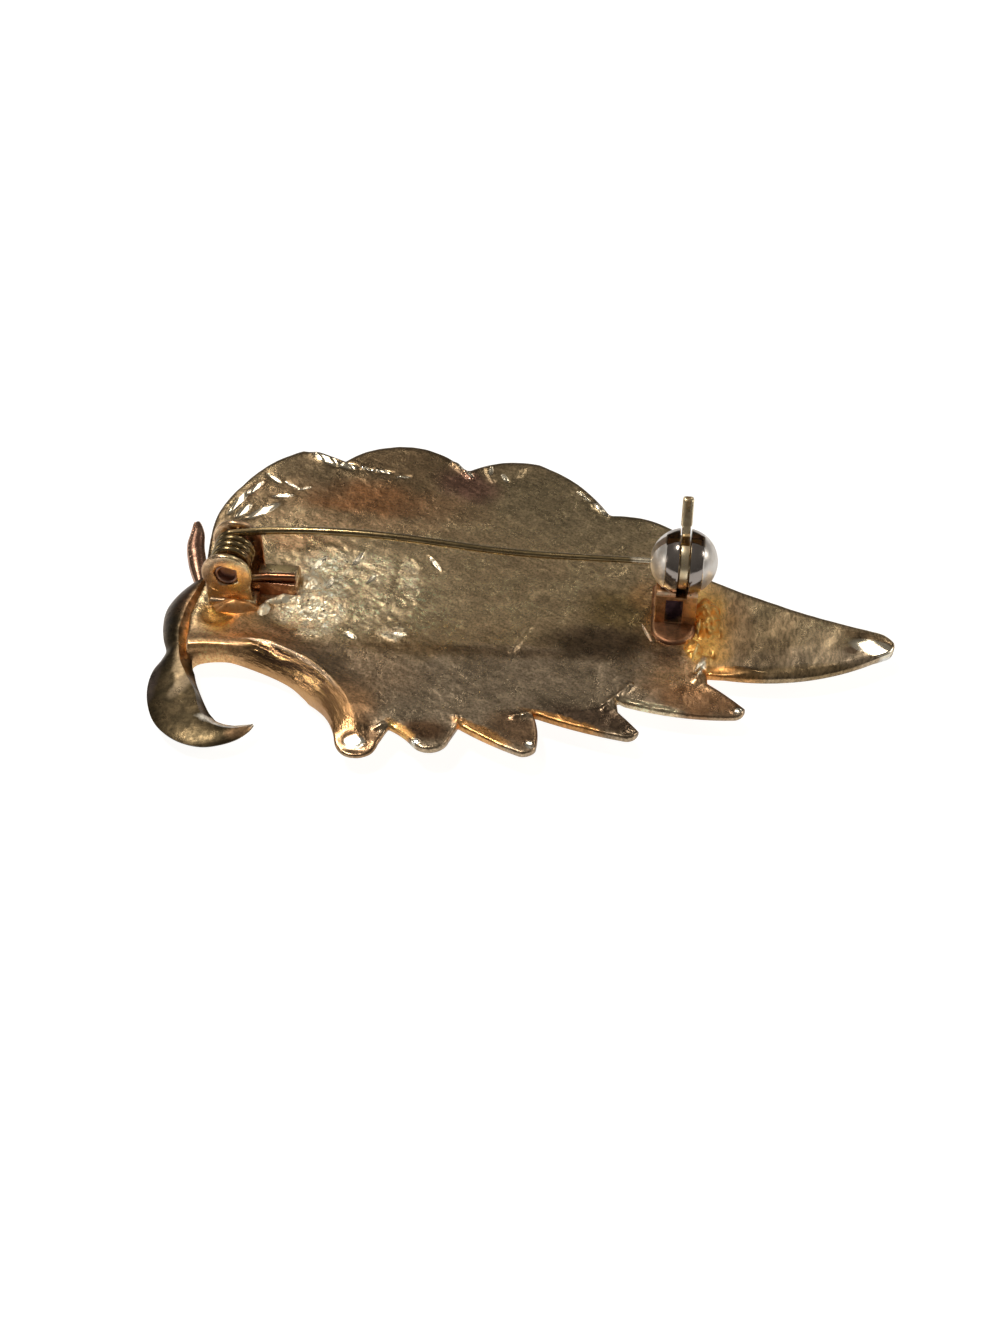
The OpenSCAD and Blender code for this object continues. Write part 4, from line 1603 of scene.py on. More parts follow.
@dataclass
class Stem:
    """The curled stem, with a ridge between its outer and inner sides.

    Attributes:
        rows: x, y, z of the middle, half width, half thickness, and where across the stem its
            ridge runs, from -1 outside to 1 inside.
    """

    rows: tuple[Row, ...] = (
        (-25.5, -0.6, 2.25, 0.5, 0.7, 0.2), (-26.1, -1.7, 2.2, 0.85, 0.9, 0.45),
        (-26.5, -2.9, 2.15, 1.15, 1.0, 0.5), (-26.7, -4.2, 2.05, 1.35, 1.0, 0.36),
        (-26.6, -5.6, 1.95, 1.35, 0.95, 0.2), (-26.4, -6.9, 1.9, 1.2, 0.9, 0.06),
        (-26.1, -8.2, 1.8, 1.0, 0.8, 0.05), (-26.05, -9.3, 1.75, 1.2, 0.75, 0.25),
        (-26.05, -10.5, 1.65, 1.62, 0.72, 0.52), (-25.8, -11.9, 1.6, 1.85, 0.7, 0.72),
        (-25.3, -13.2, 1.5, 1.98, 0.7, 0.8), (-24.6, -14.4, 1.45, 1.98, 0.65, 0.72),
        (-23.6, -15.35, 1.4, 1.78, 0.62, 0.6), (-22.4, -15.9, 1.35, 1.45, 0.56, 0.45),
        (-21.3, -15.95, 1.35, 1.08, 0.48, 0.3), (-20.3, -15.7, 1.35, 0.75, 0.38, 0.15),
        (-19.5, -15.2, 1.35, 0.42, 0.28, 0.0), (-19.05, -14.8, 1.35, 0.12, 0.14, 0.0),
    )
    steps: int = 8
    inner_hollow: float = 1.3

    def section(self, ridge: float) -> np.ndarray:
        """The stem's cross-section, as shares of its half sizes.

        Args:
            ridge: Where the ridge is.

        Returns:
            Points across and up.
        """
        points: Loop2 = []
        for u in np.linspace(0, 1, 12):
            points.append((-1 + (ridge + 1) * u, (0.25 * u + 0.75 * math.sin(u * math.pi / 2)) ** 0.8))
        for v in np.linspace(0, 1, 9)[1:]:
            points.append((ridge + (1 - ridge) * v, (1 - v) ** self.inner_hollow))
        for w in np.linspace(0, math.pi, 12)[1:-1]:
            points.append((math.cos(w), -0.95 * math.sin(w)))
        return np.array(points)

    def skin(self) -> MeshData:
        """Builds the stem's skin."""
        table = smooth_rows(self.rows, self.steps)
        return swept(table, lambda row: self.section(float(row[5])))


@dataclass
class Sepal:
    """The small pointed sepal beside the hinge, with a beaded edge.

    Attributes:
        rows: x, y, z of the middle, half width and half thickness.
        beads: Number of beads along it.
        bead: Radius of a bead.
    """

    rows: tuple[Row, ...] = (
        (-25.9, -1.4, 2.3, 0.45, 0.5), (-26.6, 0.6, 2.4, 0.7, 0.55), (-27.3, 2.8, 2.5, 0.72, 0.5),
        (-27.5, 4.3, 2.6, 0.6, 0.42), (-27.7, 5.3, 2.7, 0.38, 0.26), (-27.78, 5.8, 2.72, 0.16, 0.12),
    )
    beads: int = 11
    bead: float = 0.13

    def skin(self) -> MeshData:
        """Builds the sepal with its beads."""
        table = smooth_rows(self.rows, 9)
        turns = np.linspace(0, 2 * math.pi, 20, endpoint=False)
        rise = np.sin(turns)
        rise = np.where(rise > 0, rise**0.8, -(np.abs(rise) ** 1.2))
        section = np.stack([np.cos(turns), rise], 1)
        parts = [swept(table, lambda row: section)]
        line = swept(table, lambda row: np.array([[0.62, 0.66]])).verts
        for i in range(self.beads):
            share = 0.3 + 0.58 * i / (self.beads - 1)
            middle = line[int(share * (len(line) - 1))]
            profile = arc((0.0, 0.0), self.bead, 0, 180, 8)
            parts.append(lathe(profile, tuple(middle), 2, 12))
        return joined(parts)


@dataclass
class HingeBracket:
    """Two round ears on a base plate, with a stop for the spring's tail."""

    x: float = -23.07
    z: float = 5.55
    ear_r: float = 1.95
    ear_t: float = 0.48
    hole_r: float = 0.95
    near_y: float = -3.5
    far_y: float = 1.0
    near_w: float = 1.75
    far_w: float = 1.95
    plate_w: float = 1.7
    sunk_z: float = 1.8
    plate_top: float = 2.95
    tab_x: Point2 = (-21.2, -18.15)
    tab_y: Point2 = (-1.28, -0.06)
    tab_top: float = 4.1
    rest_x: Point2 = (-19.3, -18.1)
    rest_y: Point2 = (-2.05, 0.05)
    rest_top: float = 3.89
    wedge_x: Point2 = (-21.5, -18.2)
    wedge_y: Point2 = (-2.15, -1.6)
    wedge_top: float = 3.92

    def ear(self, y: float, half: float) -> MeshData:
        """One ear: a rounded ring standing on a post.

        Args:
            y: Where its outer or inner face starts along Y.
            half: Half width of its post.

        Returns:
            The ear's skin.
        """
        ring = arc((self.x, self.z), self.ear_r, 0, 360, 64)[:-1]
        hole = list(reversed(arc((self.x, self.z), self.hole_r, 0, 360, 48)[:-1]))
        drop = math.sqrt(max(0.0, self.ear_r**2 - half**2))
        post = [(self.x - half, self.sunk_z + 0.3), (self.x + half, self.sunk_z + 0.3)]
        neck = self.z - 1.15 * self.hole_r
        post += [(self.x + half, self.z - drop), (self.x + self.hole_r, neck)]
        post += [(self.x - self.hole_r, neck), (self.x - half, self.z - drop)]
        inset = 0.05
        top = plate(ring, [hole], (y, y + self.ear_t), Plane.XZ, 0.16)
        return joined([top, plate(post, [], (y + inset, y + self.ear_t - inset), Plane.XZ, 0.1)])

    def shade_wedge(self) -> MeshData:
        """The thin upright strip in front of the spring's tail, lower toward its end: a dark sheet that
        stands in for the shade and dark reflection under the tail.
        """
        x0, x1 = self.wedge_x
        base = self.sunk_z + 0.4
        outline = [(x0, base), (x1, base), (x1, self.wedge_top - 0.12), (x0, self.wedge_top)]
        return plate(outline, [], self.wedge_y, Plane.XZ, 0.09)

    def skin(self) -> MeshData:
        """Builds the bracket."""
        x0, x1 = self.x - self.plate_w, self.x + self.plate_w
        foot = (self.near_y - 0.22, self.near_y + 1.3)
        parts = [self.ear(self.near_y, self.near_w), self.ear(self.far_y - self.ear_t, self.far_w)]
        for xs, ys, top, bevel in (
            ((x0, x1), (self.near_y, self.far_y), self.plate_top, 0.15),
            ((x0 + 0.1, x1 + 0.45), foot, self.plate_top + 0.25, 0.28),
            (self.tab_x, self.tab_y, self.tab_top, 0.14),
            (self.rest_x, self.rest_y, self.rest_top, 0.2),
        ):
            parts.append(plate(rectangle(*zip(xs, ys)), [], (self.sunk_z, top), Plane.XY, bevel))
        return joined([*parts, self.shade_wedge()])


@dataclass
class HingeRivet:
    """The tubular rivet through the ears and the spring."""

    x: float = -23.07
    z: float = 5.55
    radius: float = 0.9
    y0: float = -3.35
    y1: float = 0.85
    hollow_r: float = 0.66
    hollow_depth: float = 0.5

    def skin(self) -> MeshData:
        """Builds the rivet, with a hollow in each end."""
        r, h, d = self.radius, self.hollow_r, self.hollow_depth
        half = [(d, 0.0), (d, h * 0.9), (0.12, h), (0.03, h + 0.04), (0.0, h + 0.09)]
        half += [(0.0, r - 0.07), (0.03, r - 0.02), (0.1, r)]
        profile = [(self.y0 + w, q) for w, q in half] + [(self.y1 - w, q) for w, q in reversed(half)]
        return lathe(profile, (self.x, 0.0, self.z), 1, 48)


@dataclass
class PinWire:
    """One wire: point, arm, spring of three and a half turns, tail.

    Attributes:
        arm: x, z and radius from the spring to the point.
        tail: x, y and z beyond the last turn.
    """

    arm: tuple[Row, ...] = (
        (-20.5, 7.32, 0.31), (-17.3, 7.64, 0.31), (-13.5, 7.76, 0.31), (-10.0, 7.66, 0.3),
        (-6.5, 7.4, 0.29), (-3.0, 7.12, 0.28), (0.5, 7.02, 0.27), (4.5, 7.1, 0.25), (8.5, 7.22, 0.23),
        (11.7, 7.28, 0.2), (12.6, 7.3, 0.13), (13.15, 7.31, 0.04),
    )
    tail: tuple[Row, ...] = ((-21.5, -2.0, 4.26), (-20.2, -1.78, 4.27), (-18.25, -1.7, 4.3))
    hinge: Point2 = (-23.07, 5.55)
    catch: Point2 = (11.7, -0.3)
    root_y: float = 0.1
    coil_r: float = 1.29
    turns: float = 3.5
    pitch: float = 0.66
    wire_r: float = 0.31
    turn_steps: int = 18

    def skin(self) -> MeshData:
        """Builds the wire."""
        rows: list[Row] = []
        run = self.catch[0] - self.hinge[0]
        for x, z, r in reversed(self.arm):
            share = min(1.0, (x - self.hinge[0]) / run)
            rows.append((x, self.root_y + (self.catch[1] - self.root_y) * share, z, r))
        for i in range(int(self.turn_steps * self.turns) + 1):
            a = 2 * math.pi * i / self.turn_steps
            out, up = self.coil_r * math.sin(a), self.coil_r * math.cos(a)
            y = self.root_y - self.pitch * i / self.turn_steps
            rows.append((self.hinge[0] - out, y, self.hinge[1] + up, self.wire_r))
        rows += [(*row, self.wire_r) for row in self.tail]
        rows.append((self.tail[-1][0] + 0.02, *self.tail[-1][1:], self.wire_r * 0.8))
        return wire(smooth_rows(rows, 5), 24)


@dataclass
class BallCatch:
    """The catch: a polished ball on two legs and a pad, slotted for the lever."""

    x: float = 11.7
    y: float = -0.3
    z: float = 7.45
    ball_r: float = 2.55
    slot_half: float = 0.42
    bore_r: float = 1.02
    bore_half: float = 1.45
    passage_r: float = 0.6
    entry_r: float = 0.42
    entry_z: float = 7.28
    lip: float = 0.07
    legs_x: Point2 = (9.8, 12.95)
    legs_y: Point2 = (-1.9, 1.3)
    legs_top: float = 5.75
    slot_floor: float = 5.1
    window_x: Point2 = (10.6, 11.9)
    window_top: float = 4.78
    pad_x: float = 11.3
    pad_half: Point2 = (1.75, 0.95)
    pad_y: Row = (-4.1, -3.2, 2.4, 3.1)
    pad_z: Point2 = (1.7, 2.5)

    def half_profile(self, side: int) -> Loop2:
        """Profile of one half of the ball about the lever's axis.

        Args:
            side: -1 for the hinge's side, 1 for the tip's.

        Returns:
            Places along the axis and radii.
        """
        face = self.slot_half
        edge = math.sqrt(self.ball_r**2 - face**2)
        start = math.degrees(math.atan2(edge - 0.02, face + self.lip))
        points: Loop2 = [(face, self.bore_r + self.lip), (face, edge - self.lip)]
        points.append((face + 0.3 * self.lip, edge - 0.3 * self.lip))
        points += [(x, max(0.0, r)) for x, r in arc((0.0, 0.0), self.ball_r, start, 0, 40)]
        points += [(self.bore_half, 0.0), (self.bore_half, self.bore_r)]
        points.append((face + self.lip, self.bore_r))
        return [(side * x, r) for x, r in points]

    def box_tool(self, near: float, far: float, half: float, floor: float) -> MeshData:
        """A plain box to cut with, from a height up to above the ball."""
        outline = rectangle((self.x + near, self.y - half), (self.x + far, self.y + half))
        return plate(outline, [], (floor, self.z + 4.0), Plane.XY, 0.002)

    def build_ball(self, bench: Bench, finish: Material) -> None:
        """Builds and dresses the ball.

        Args:
            bench: Where objects are made.
            finish: Its material.
        """
        centre = (self.x, self.y, self.z)
        halves = [lathe(self.half_profile(side), centre, 0, 96) for side in (-1, 1)]
        ball = bench.raw("catch_ball", joined(halves))
        mouth = self.box_tool(-self.bore_half, self.bore_half, self.passage_r, self.z)
        slit = self.box_tool(-4.0, -1.0, self.entry_r - 0.02, self.entry_z)
        entry = arc((self.y, self.entry_z), self.entry_r, 0, 360, 40)[:-1]
        hole = plate(entry, [], (self.x - 4.0, self.x - 1.0), Plane.YZ, 0.002)
        bench.cut(ball, [mouth, slit, hole])
        bench.dress(ball, finish, Body.BROOCH, Slot.FINDING, sharp=32.0)

    def legs_skin(self) -> MeshData:
        """Builds the two legs with the window between them."""
        (x0, x1), top, floor = self.legs_x, self.legs_top, self.slot_floor
        near, far = self.x - self.slot_half, self.x + self.slot_half
        outline = [(x0, self.pad_z[0]), (x1, self.pad_z[0]), (x1, top), (far, top), (far, floor)]
        outline += [(near, floor), (near, top), (x0, top)]
        window = rectangle((self.window_x[0], self.pad_z[1] + 0.05), (self.window_x[1], self.window_top))
        return plate(outline, [list(reversed(window))], self.legs_y, Plane.XZ, 0.1)

    def shoulder_skin(self) -> MeshData:
        """Builds the pale solder shoulders between the ball and the legs."""
        y0, y1 = self.legs_y[0] - 0.1, self.legs_y[1] - 0.1
        spans = [self.legs_x[0] + 0.02, self.x - self.slot_half, self.x + self.slot_half, self.legs_x[1]]
        heights = (self.legs_top - 0.62, self.legs_top)
        boxes = [rectangle((x0, y0), (x1, y1)) for x0, x1 in zip(spans[::2], spans[1::2])]
        return joined([plate(box, [], heights, Plane.XY, 0.26) for box in boxes])

    def pad_skin(self) -> MeshData:
        """Builds the eight-sided pad under the legs."""
        wide, narrow = self.pad_half
        y = self.pad_y
        outline = arc((0.0, y[0] + wide), wide, 180, 360, 24)
        outline += [(wide, y[2]), (narrow, y[3]), (-narrow, y[3]), (-wide, y[2])]
        placed = [(self.pad_x + px, py) for px, py in outline]
        return plate(placed, [], self.pad_z, Plane.XY, 0.34)


@dataclass
class SafetyLever:
    """The catch's disc with its hub and its lever."""

    x: float = 11.7
    y: float = -0.3
    z: float = 7.45
    disc_r: float = 2.1
    hub_r: float = 0.95
    hub_half: float = 1.3
    passage_r: float = 0.6
    half_cut: float = 0.55
    thick: float = 0.66
    reach: float = 4.95
    half_width: float = 0.45
    root: float = 1.4
    lean: float = 45.0
    clear_r: float = 2.64
    thumb_half: float = 0.42

    def skin(self) -> MeshData:
        """Builds the disc, the hub and the lever."""
        centre = (self.y, self.z)
        span = (self.x - self.thick / 2, self.x + self.thick / 2)
        disc = plate(c_shape(centre, self.disc_r, self.passage_r, self.half_cut, 64), [], span, Plane.YZ)
        hub_span = (self.x - self.hub_half, self.x + self.hub_half)
        hub_loop = c_shape(centre, self.hub_r, self.passage_r, self.half_cut, 40)
        hub = plate(hub_loop, [], hub_span, Plane.YZ, 0.03)
        turn = math.radians(-self.lean)
        cos, sin = math.cos(turn), math.sin(turn)
        thin = (span[0] + 0.004, span[1] - 0.004)
        wide = (self.x - self.thumb_half, self.x + self.thumb_half)
        parts = [disc, hub]
        for start, ends, bevel in ((self.root, thin, 0.14), (self.clear_r, wide, 0.2)):
            strip = [(-self.half_width, start), (self.half_width, start)]
            strip += arc((0.0, self.reach - self.half_width), self.half_width, 0, 180, 16)
            placed = [(self.y + u * cos - v * sin, self.z + u * sin + v * cos) for u, v in strip]
            parts.append(plate(placed, [], ends, Plane.YZ, bevel))
        return joined(parts)


@dataclass
class SolderPatch:
    """A low mound of solder that lies on the leaf's back.

    Attributes:
        name: Its name.
        centre: Its middle.
        reach: Its half sizes.
        turn: How far it is turned, in degrees.
        height: How high it stands.
        lump: Size of its lumps.
        lumps: How strong they are, as a share of its height.
        seed: Which lumps.
        lit: How far it leans toward the lamp overhead, 1 being enough to mirror it.
    """

    name: str
    centre: Point2
    reach: Point2
    turn: float
    height: float
    lump: float = 0.8
    lumps: float = 0.35
    seed: int = 1
    lit: float = 0.0

    def skin(self, form: LeafForm) -> MeshData:
        """Builds the mound.

        Args:
            form: The leaf that it lies on.

        Returns:
            The mound's skin.
        """
        sides, rings_count = 72, 18
        turns = np.linspace(0, 2 * math.pi, sides, endpoint=False)
        uneven = 1 + 0.16 * ripple(3 * np.cos(turns), 3 * np.sin(turns), 3.2, self.seed)
        cos, sin = math.cos(math.radians(self.turn)), math.sin(math.radians(self.turn))
        slope = Glint.OVER.slope(*self.centre)
        rings = []
        for i in range(rings_count + 2):
            share = max(0.001, min(1.0, i / rings_count))
            u = self.reach[0] * share * uneven * np.cos(turns)
            v = self.reach[1] * share * uneven * np.sin(turns)
            x = self.centre[0] + u * cos - v * sin
            y = self.centre[1] + u * sin + v * cos
            dome = (1 - share**2) ** 1.3 * self.height
            wave = 1 + self.lumps * (ripple(x, y, self.lump, self.seed + 40))
            wave = wave + 0.5 * self.lumps * ripple(x, y, self.lump * 0.5, self.seed + 41)
            lean = slope[0] * (x - self.centre[0]) + slope[1] * (y - self.centre[1])
            lean = self.lit * (1 - share**4) * lean
            z = form.back(x, y) + dome * wave + lean - 0.12 * share**2
            if i > rings_count:
                z = form.back(x, y) - 0.4
            rings.append(np.stack([x, y, z], 1))
        return loft(np.array(rings))


# The stage


@dataclass
class Studio:
    """Pale floor, soft lights, dim surroundings and the camera.

    Attributes:
        elevation: The camera's angle above the floor, in degrees.
        azimuth: Its angle round the brooch.
        target: What it looks at.
        pixels_per_mm: Scale of the photograph at the target.
        focal: Focal length in the photograph's pixels.
        frame: Width and height of the photograph in pixels.
        room: The room's brightness at the horizon, overhead, and its share on the camera's side.
        lights: Each lamp's name, direction, half width in degrees and brightness.
    """

    elevation: float = 45.0
    azimuth: float = 6.0
    target: Row = (-1.5, -7.9, 2.4)
    pixels_per_mm: float = 13.3
    focal: float = 1700.0
    frame: tuple[int, int] = (1000, 1333)
    room: Row = (0.07, 0.15, 1.0)
    lights: tuple[tuple[str, Row, float, float], ...] = (
        ("lamp_over_left", Glint.OVER.value, 4.5, 66.0),
        ("lamp_right", (0.9, 0.1, 0.43), 7.0, 8.0),
        ("lamp_back_left", Glint.LEFT.value, 7.0, 5.0),
        ("lamp_back_right", Glint.RIGHT.value, 5.0, 8.0),
        ("lamp_front_left", (-0.93, -0.24, 0.26), 7.0, 4.0),
    )

    def camera(self) -> None:
        """Sets the camera at the photograph's viewing angle."""
        e, a = math.radians(self.elevation), math.radians(self.azimuth)
        back = Vector((math.sin(a) * math.cos(e), -math.cos(a) * math.cos(e), math.sin(e)))
        data = bpy.data.cameras.new("camera")
        data.sensor_width = 36.0
        data.lens = data.sensor_width * self.focal / max(self.frame)
        data.clip_start, data.clip_end = 0.005, 10.0
        made = bpy.data.objects.new("camera", data)
        bpy.context.scene.collection.objects.link(made)
        away = self.focal / self.pixels_per_mm
        made.location = (Vector(self.target) + back * away) * MM
        made.rotation_mode = "QUATERNION"
        made.rotation_quaternion = (-back).to_track_quat("-Z", "Y")
        bpy.context.scene.camera = made

    def lamps(self) -> None:
        """Hangs round soft lamps in the directions that the highlights come from."""
        away = LAMP_AWAY * MM
        for name, direction, spread, strength in self.lights:
            data = bpy.data.lights.new(name, "AREA")
            data.shape = "DISK"
            radius = away * math.tan(math.radians(spread))
            data.size = 2 * radius
            data.energy = strength * math.pi * math.pi * radius**2
            data.color = (1.0, 0.95, 0.87)
            made = bpy.data.objects.new(name, data)
            bpy.context.scene.collection.objects.link(made)
            toward = Vector(direction).normalized()
            made.location = toward * away
            made.rotation_mode = "QUATERNION"
            made.rotation_quaternion = toward.to_track_quat("Z", "Y")

    def surroundings(self) -> None:
        """Makes the dim room that the metal mirrors: darker low down and on the camera's side."""
        world = bpy.data.worlds.new("room")
        bpy.context.scene.world = world
        world.use_nodes = True
        s = NodeSheet(world.node_tree, "Background", "LINEAR")
        _, y, z = s.split(s.add("TexCoord").outputs["Generated"])
        low, overhead, near = self.room
        level = s.times(s.between(z, 0.0, 1.0, low, overhead), s.between(y, -0.8, 0.5, near, 1.0))
        seen = s.add("LightPath").outputs["Is Camera Ray"]
        colour = s.blend(seen, s.scaled((1.0, 0.94, 0.85), level), (1.0, 1.0, 1.0))
        s.put(s.shader, Color=colour, Strength=1.0)

    def floor(self) -> None:
        """Lays the floor just under the brooch."""
        half, drop = 0.9, 0.02 * MM
        mesh = bpy.data.meshes.new("floor")
        square = [(-half, -half, -drop), (half, -half, -drop), (half, half, -drop), (-half, half, -drop)]
        mesh.from_pydata(square, [], [(0, 1, 2, 3)])
        mesh.materials.append(PaleFloor().build())
        made = bpy.data.objects.new("floor", mesh)
        bpy.context.scene.collection.objects.link(made)
        made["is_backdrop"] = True

    def build(self) -> None:
        """Sets the whole stage."""
        self.camera()
        self.lamps()
        self.surroundings()
        self.floor()
        settings = bpy.context.scene.view_settings
        settings.view_transform = "Standard"
        settings.look = "None"


# The brooch


@dataclass
class Brooch:
    """All the pieces of the brooch, built in order."""

    bench: Bench
    form: LeafForm = field(default_factory=LeafForm)

    def lay(self, finish: Material, patches: Sequence[SolderPatch]) -> None:
        """Lays patches of solder on the leaf.

        Args:
            finish: Their material.
            patches: The patches.
        """
        for patch in patches:
            skin = patch.skin(self.form)
            self.bench.piece(patch.name, skin, finish, Body.BROOCH, Slot.LEAF, sharp=80.0)

    def build_leaf(self) -> None:
        """Builds the leaf, its stem and its sepal."""
        gold = CastLeafGold().build(self.form)
        plate_skin = LeafPlate(self.form).skin()
        leaf = self.bench.piece("leaf_plate", plate_skin, gold, Body.BROOCH, Slot.LEAF, sharp=50.0)
        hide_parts("leaf")
        # Painted shade on the stem's outer side and painted light on its inner side; the white at the
        # crescent's end is a painted highlight
        stem_gold = PaintedGold(
            "stem_gold", (0.125, 0.09, 0.048), (0.07, 0.052, 0.028), (
                Zone((0.15, 0.085, 0.05), (-26.7, -2.6), (1.1, 2.6), 10),
                Zone((0.95, 0.58, 0.3), (-25.5, -5.4), (0.7, 3.3), 0, 0.9),
                Zone((0.6, 0.44, 0.26), (-25.6, -9.6), (0.5, 2.6), 12, 0.7),
                Zone((0.24, 0.19, 0.16), (-27.9, -5.0), (0.6, 2.0), 0, 0.7),
                Zone((0.26, 0.2, 0.175), (-27.6, -11.0), (0.6, 3.4), 0, 0.7),
                Zone((0.34, 0.26, 0.17), (-24.9, -12.0), (0.5, 1.3), -30, 0.6),
                Zone((1.0, 0.94, 0.82), (-21.0, -14.9), (1.9, 0.5), 0, 0.9, 0.3),
                Zone((0.62, 0.38, 0.2), (-19.9, -15.7), (0.9, 0.4), 35),
            ), 0.26, 0.4, 0.6, 0.3, 0.02
        ).build()
        self.bench.piece("leaf_stem", Stem().skin(), stem_gold, Body.BROOCH, Slot.LEAF, sharp=24.0)
        sepal_gold = SmoothGold(
            "sepal_gold", (0.72, 0.43, 0.3), (0.3, 0.16, 0.11), 0.18, 0.3, 0.2, 0.01
        ).build()
        self.bench.piece("leaf_sepal", Sepal().skin(), sepal_gold, Body.BROOCH, Slot.LEAF, sharp=60.0)

    def build_hinge(self) -> None:
        """Builds the bracket, its solder and the rivet."""
        # A painted highlight along the tab's front edge, and painted shade on the strip in front of the
        # spring's tail
        rose = PaintedGold(
            "bracket_gold", (0.92, 0.66, 0.42), (0.74, 0.48, 0.28), (
                Zone((1.0, 0.74, 0.4), (-22.0, -3.4), (1.0, 0.7)),
                Zone((0.13, 0.095, 0.05), (-23.4, 2.3), (1.6, 1.3), 0, 0.97),
                Zone((0.42, 0.18, 0.09), (-20.8, 0.9), (1.0, 0.9), 0, 0.95),
                Zone((0.36, 0.12, 0.06), (-19.9, -1.9), (2.3, 0.5)),
                Zone((0.42, 0.34, 0.17), (-19.7, -0.6), (2.0, 0.5)),
                Zone((0.86, 0.64, 0.42), (-19.5, -1.15), (2.0, 0.16), 0, 0.9),
            ), 0.22, 0.34, 0.5, 0.2, 0.012
        ).build()
        self.bench.piece("hinge_bracket", HingeBracket().skin(), rose, Body.BROOCH, Slot.FINDING, even=True)
        dark = SmoothGold(
            "rivet_gold", (0.5, 0.32, 0.24), (0.34, 0.2, 0.15), 0.28, 0.42, 0.15, 0.008
        ).build()
        rivet = self.bench.piece("rivet_turned", HingeRivet().skin(), dark, Body.BROOCH, Slot.FINDING)
        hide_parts("hinge_rivet")
        cream = LumpySolder("cream_solder", (1.0, 0.92, 0.72), (0.98, 0.78, 0.5), 0.5, 0.1, 0.75).build()
        brown = LumpySolder("brown_solder", (1.0, 0.56, 0.24), (0.72, 0.34, 0.12), 0.9, 0.02, 1.0).build()
        self.lay(cream, (
            SolderPatch("solder_by_stop", (-17.2, -0.6), (1.1, 1.7), 12.0, 0.42, 0.9, 0.3, 3, 0.7),
            SolderPatch("solder_streak", (-19.5, -2.75), (1.8, 0.46), 24.0, 0.36, 0.9, 0.25, 7, 0.8),
            SolderPatch("solder_blob", (-20.4, -4.0), (0.55, 1.0), -12.0, 0.26, 0.8, 0.3, 9, 0.8),
        ))
        self.lay(brown, (
            SolderPatch("solder_foot", (-22.6, -3.85), (2.1, 0.75), 4.0, 0.78, 1.6, 0.1, 15),
        ))

    def build_pin(self) -> None:
        """Builds the pin's wire."""
        # Painted shade and dark reflection on the tail, a painted highlight near the point, and a painted
        # orange-brown reflection by the ball
        olive = PaintedGold(
            "wire_gold", (0.34, 0.25, 0.125), (0.24, 0.17, 0.085), (
                Zone((0.34, 0.12, 0.06), (-19.6, -1.8), (1.9, 0.6)),
                Zone((1.0, 0.86, 0.64), (8.6, -0.2), (0.9, 0.6), 0, 0.9, 0.3),
                Zone((0.7, 0.34, 0.14), (10.2, -0.3), (0.6, 0.6)),
                Zone((0.24, 0.17, 0.09), (-22.6, 1.4), (1.8, 0.8), 0, 0.7),
            ), 0.2, 0.3, 0.45, 0.15, 0.005
        ).build()
        pin = self.bench.piece("pin_wire", PinWire().skin(), olive, Body.PIN, Slot.WIRE, sharp=60.0)
        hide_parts("pin_stem")

    def build_catch(self) -> None:
        """Builds the ball, its legs, its pad, the solder beside it and the lever."""
        catch = BallCatch()
        catch.build_ball(self.bench, PolishedSilver().build())
        # Painted shade inside the window between the legs
        warm = PaintedGold(
            "leg_gold", (0.72, 0.42, 0.21), (0.52, 0.28, 0.13), (
                Zone((0.06, 0.03, 0.045), (11.25, 0.0), (0.75, 1.75), 0, 0.97, 0.25),
                Zone((0.85, 0.56, 0.3), (12.6, -2.6), (0.6, 1.2)),
            ), 0.36, 0.48, 0.5, 0.25, 0.02
        ).build()
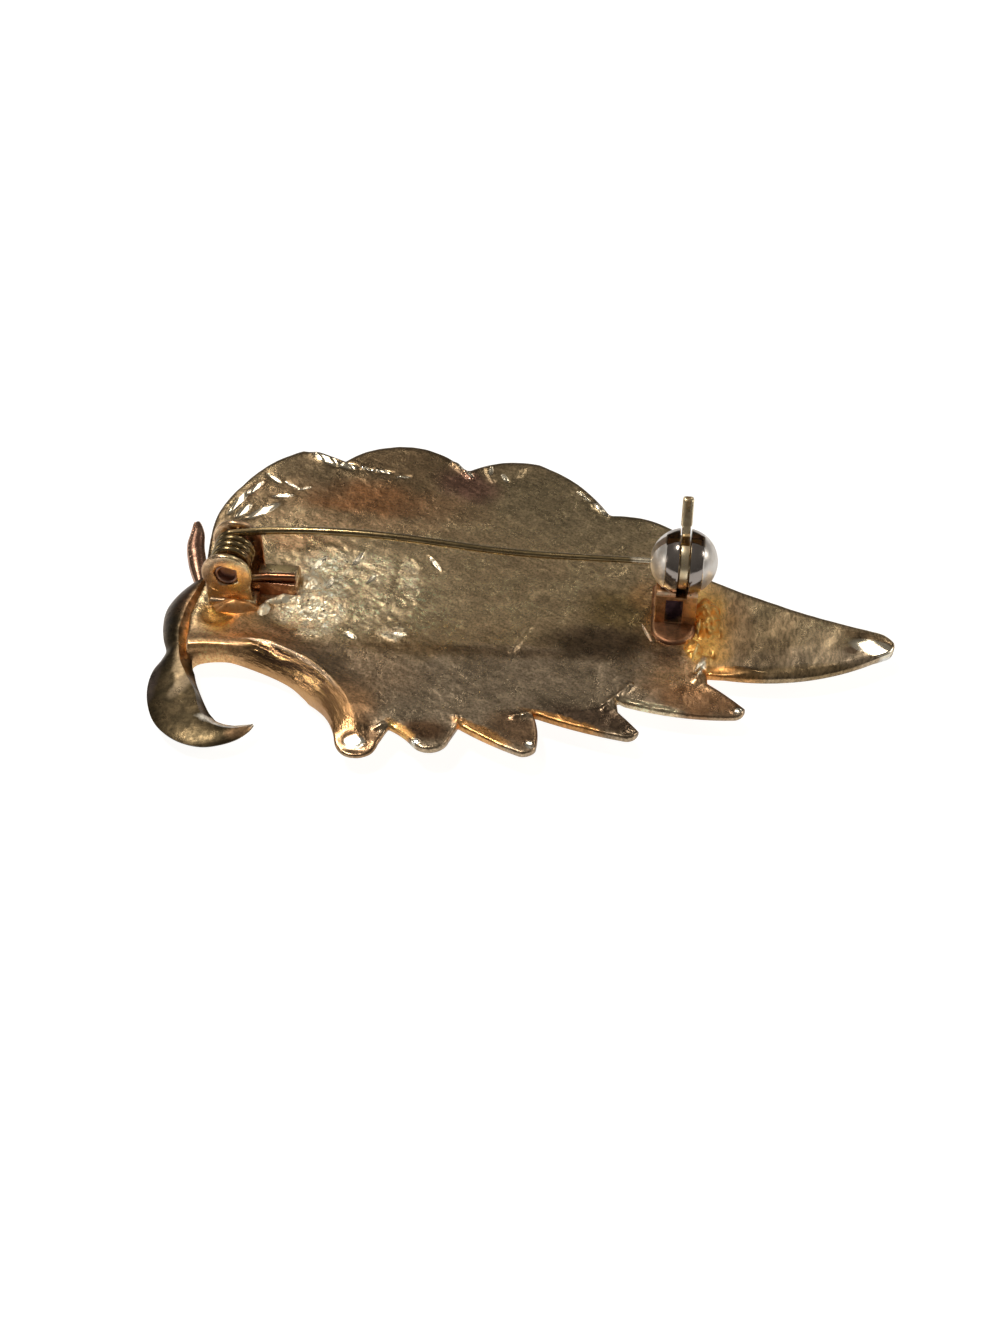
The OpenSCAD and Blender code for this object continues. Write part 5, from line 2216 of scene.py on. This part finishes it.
        # Painted shade along the pad's front and left edges
        dark_pad = PaintedGold(
            "pad_gold", (0.56, 0.3, 0.16), (0.38, 0.19, 0.1), (
                Zone((0.2, 0.09, 0.05), (11.3, -4.1), (2.0, 0.45)),
                Zone((0.2, 0.11, 0.06), (9.6, -2.5), (0.3, 2.4), 0, 0.7),
            ), 0.36, 0.48, 0.5, 0.25, 0.02
        ).build()
        pale = LumpySolder("pale_solder", (1.0, 0.84, 0.62), (1.0, 0.66, 0.42), 0.6, 0.04, 0.85).build()
        pieces = (
            ("catch_legs", catch.legs_skin(), warm),
            ("catch_pad", catch.pad_skin(), dark_pad),
            ("catch_shoulders", catch.shoulder_skin(), pale),
        )
        for name, skin, finish in pieces:
            self.bench.piece(name, skin, finish, Body.BROOCH, Slot.FINDING, even=True)
        flow = LumpySolder("flowed_solder", (1.0, 0.64, 0.2), (1.0, 0.4, 0.07), 0.8, 0.05, 1.0).build()
        # The beads' paler yellow is partly a painted highlight; they also lean to mirror the lamp overhead
        bright = LumpySolder("bright_solder", (1.0, 0.84, 0.4), (1.0, 0.64, 0.2), 0.4, 0.03, 0.9).build()
        self.lay(flow, (
            SolderPatch("catch_solder_right", (13.8, -1.5), (1.2, 3.2), -2.0, 0.42, 1.1, 0.3, 11, 0.35),
            SolderPatch("catch_solder_low", (12.9, -4.7), (0.9, 1.7), 12.0, 0.28, 0.9, 0.35, 12, 0.5),
        ))
        self.lay(bright, (
            SolderPatch("catch_bead_top", (13.6, -0.1), (0.42, 0.8), -8.0, 0.55, 0.8, 0.25, 21, 0.9),
            SolderPatch("catch_bead_middle", (13.25, -2.0), (0.3, 0.9), -4.0, 0.52, 0.8, 0.25, 22, 0.9),
            SolderPatch("catch_bead_low", (13.05, -5.0), (0.28, 1.3), -14.0, 0.46, 0.7, 0.3, 23, 0.9),
        ))
        self.lay(pale, (
            SolderPatch("catch_solder_left", (9.3, -2.9), (0.2, 1.5), 24.0, 0.16, 0.9, 0.2, 13),
        ))
        tan = SmoothGold(
            "lever_gold", (0.98, 0.84, 0.58), (0.84, 0.66, 0.42), 0.24, 0.34, 0.15, 0.003, (2.0, 4.0, 4.0)
        ).build()
        disc = SafetyLever().skin()
        lever = self.bench.piece("lever_disc", disc, tan, Body.LEVER, Slot.FINDING, even=True)
        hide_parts("safety_lever")

    def build(self) -> None:
        """Builds every piece."""
        for step in (self.build_leaf, self.build_hinge, self.build_pin, self.build_catch):
            step()


def main() -> None:
    """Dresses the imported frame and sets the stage."""
    logging.basicConfig(level=logging.INFO, format="%(name)s: %(message)s")
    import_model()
    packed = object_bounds()
    Brooch(Bench(*packed)).build()
    Studio().build()


if __name__ == "__main__":
    main()
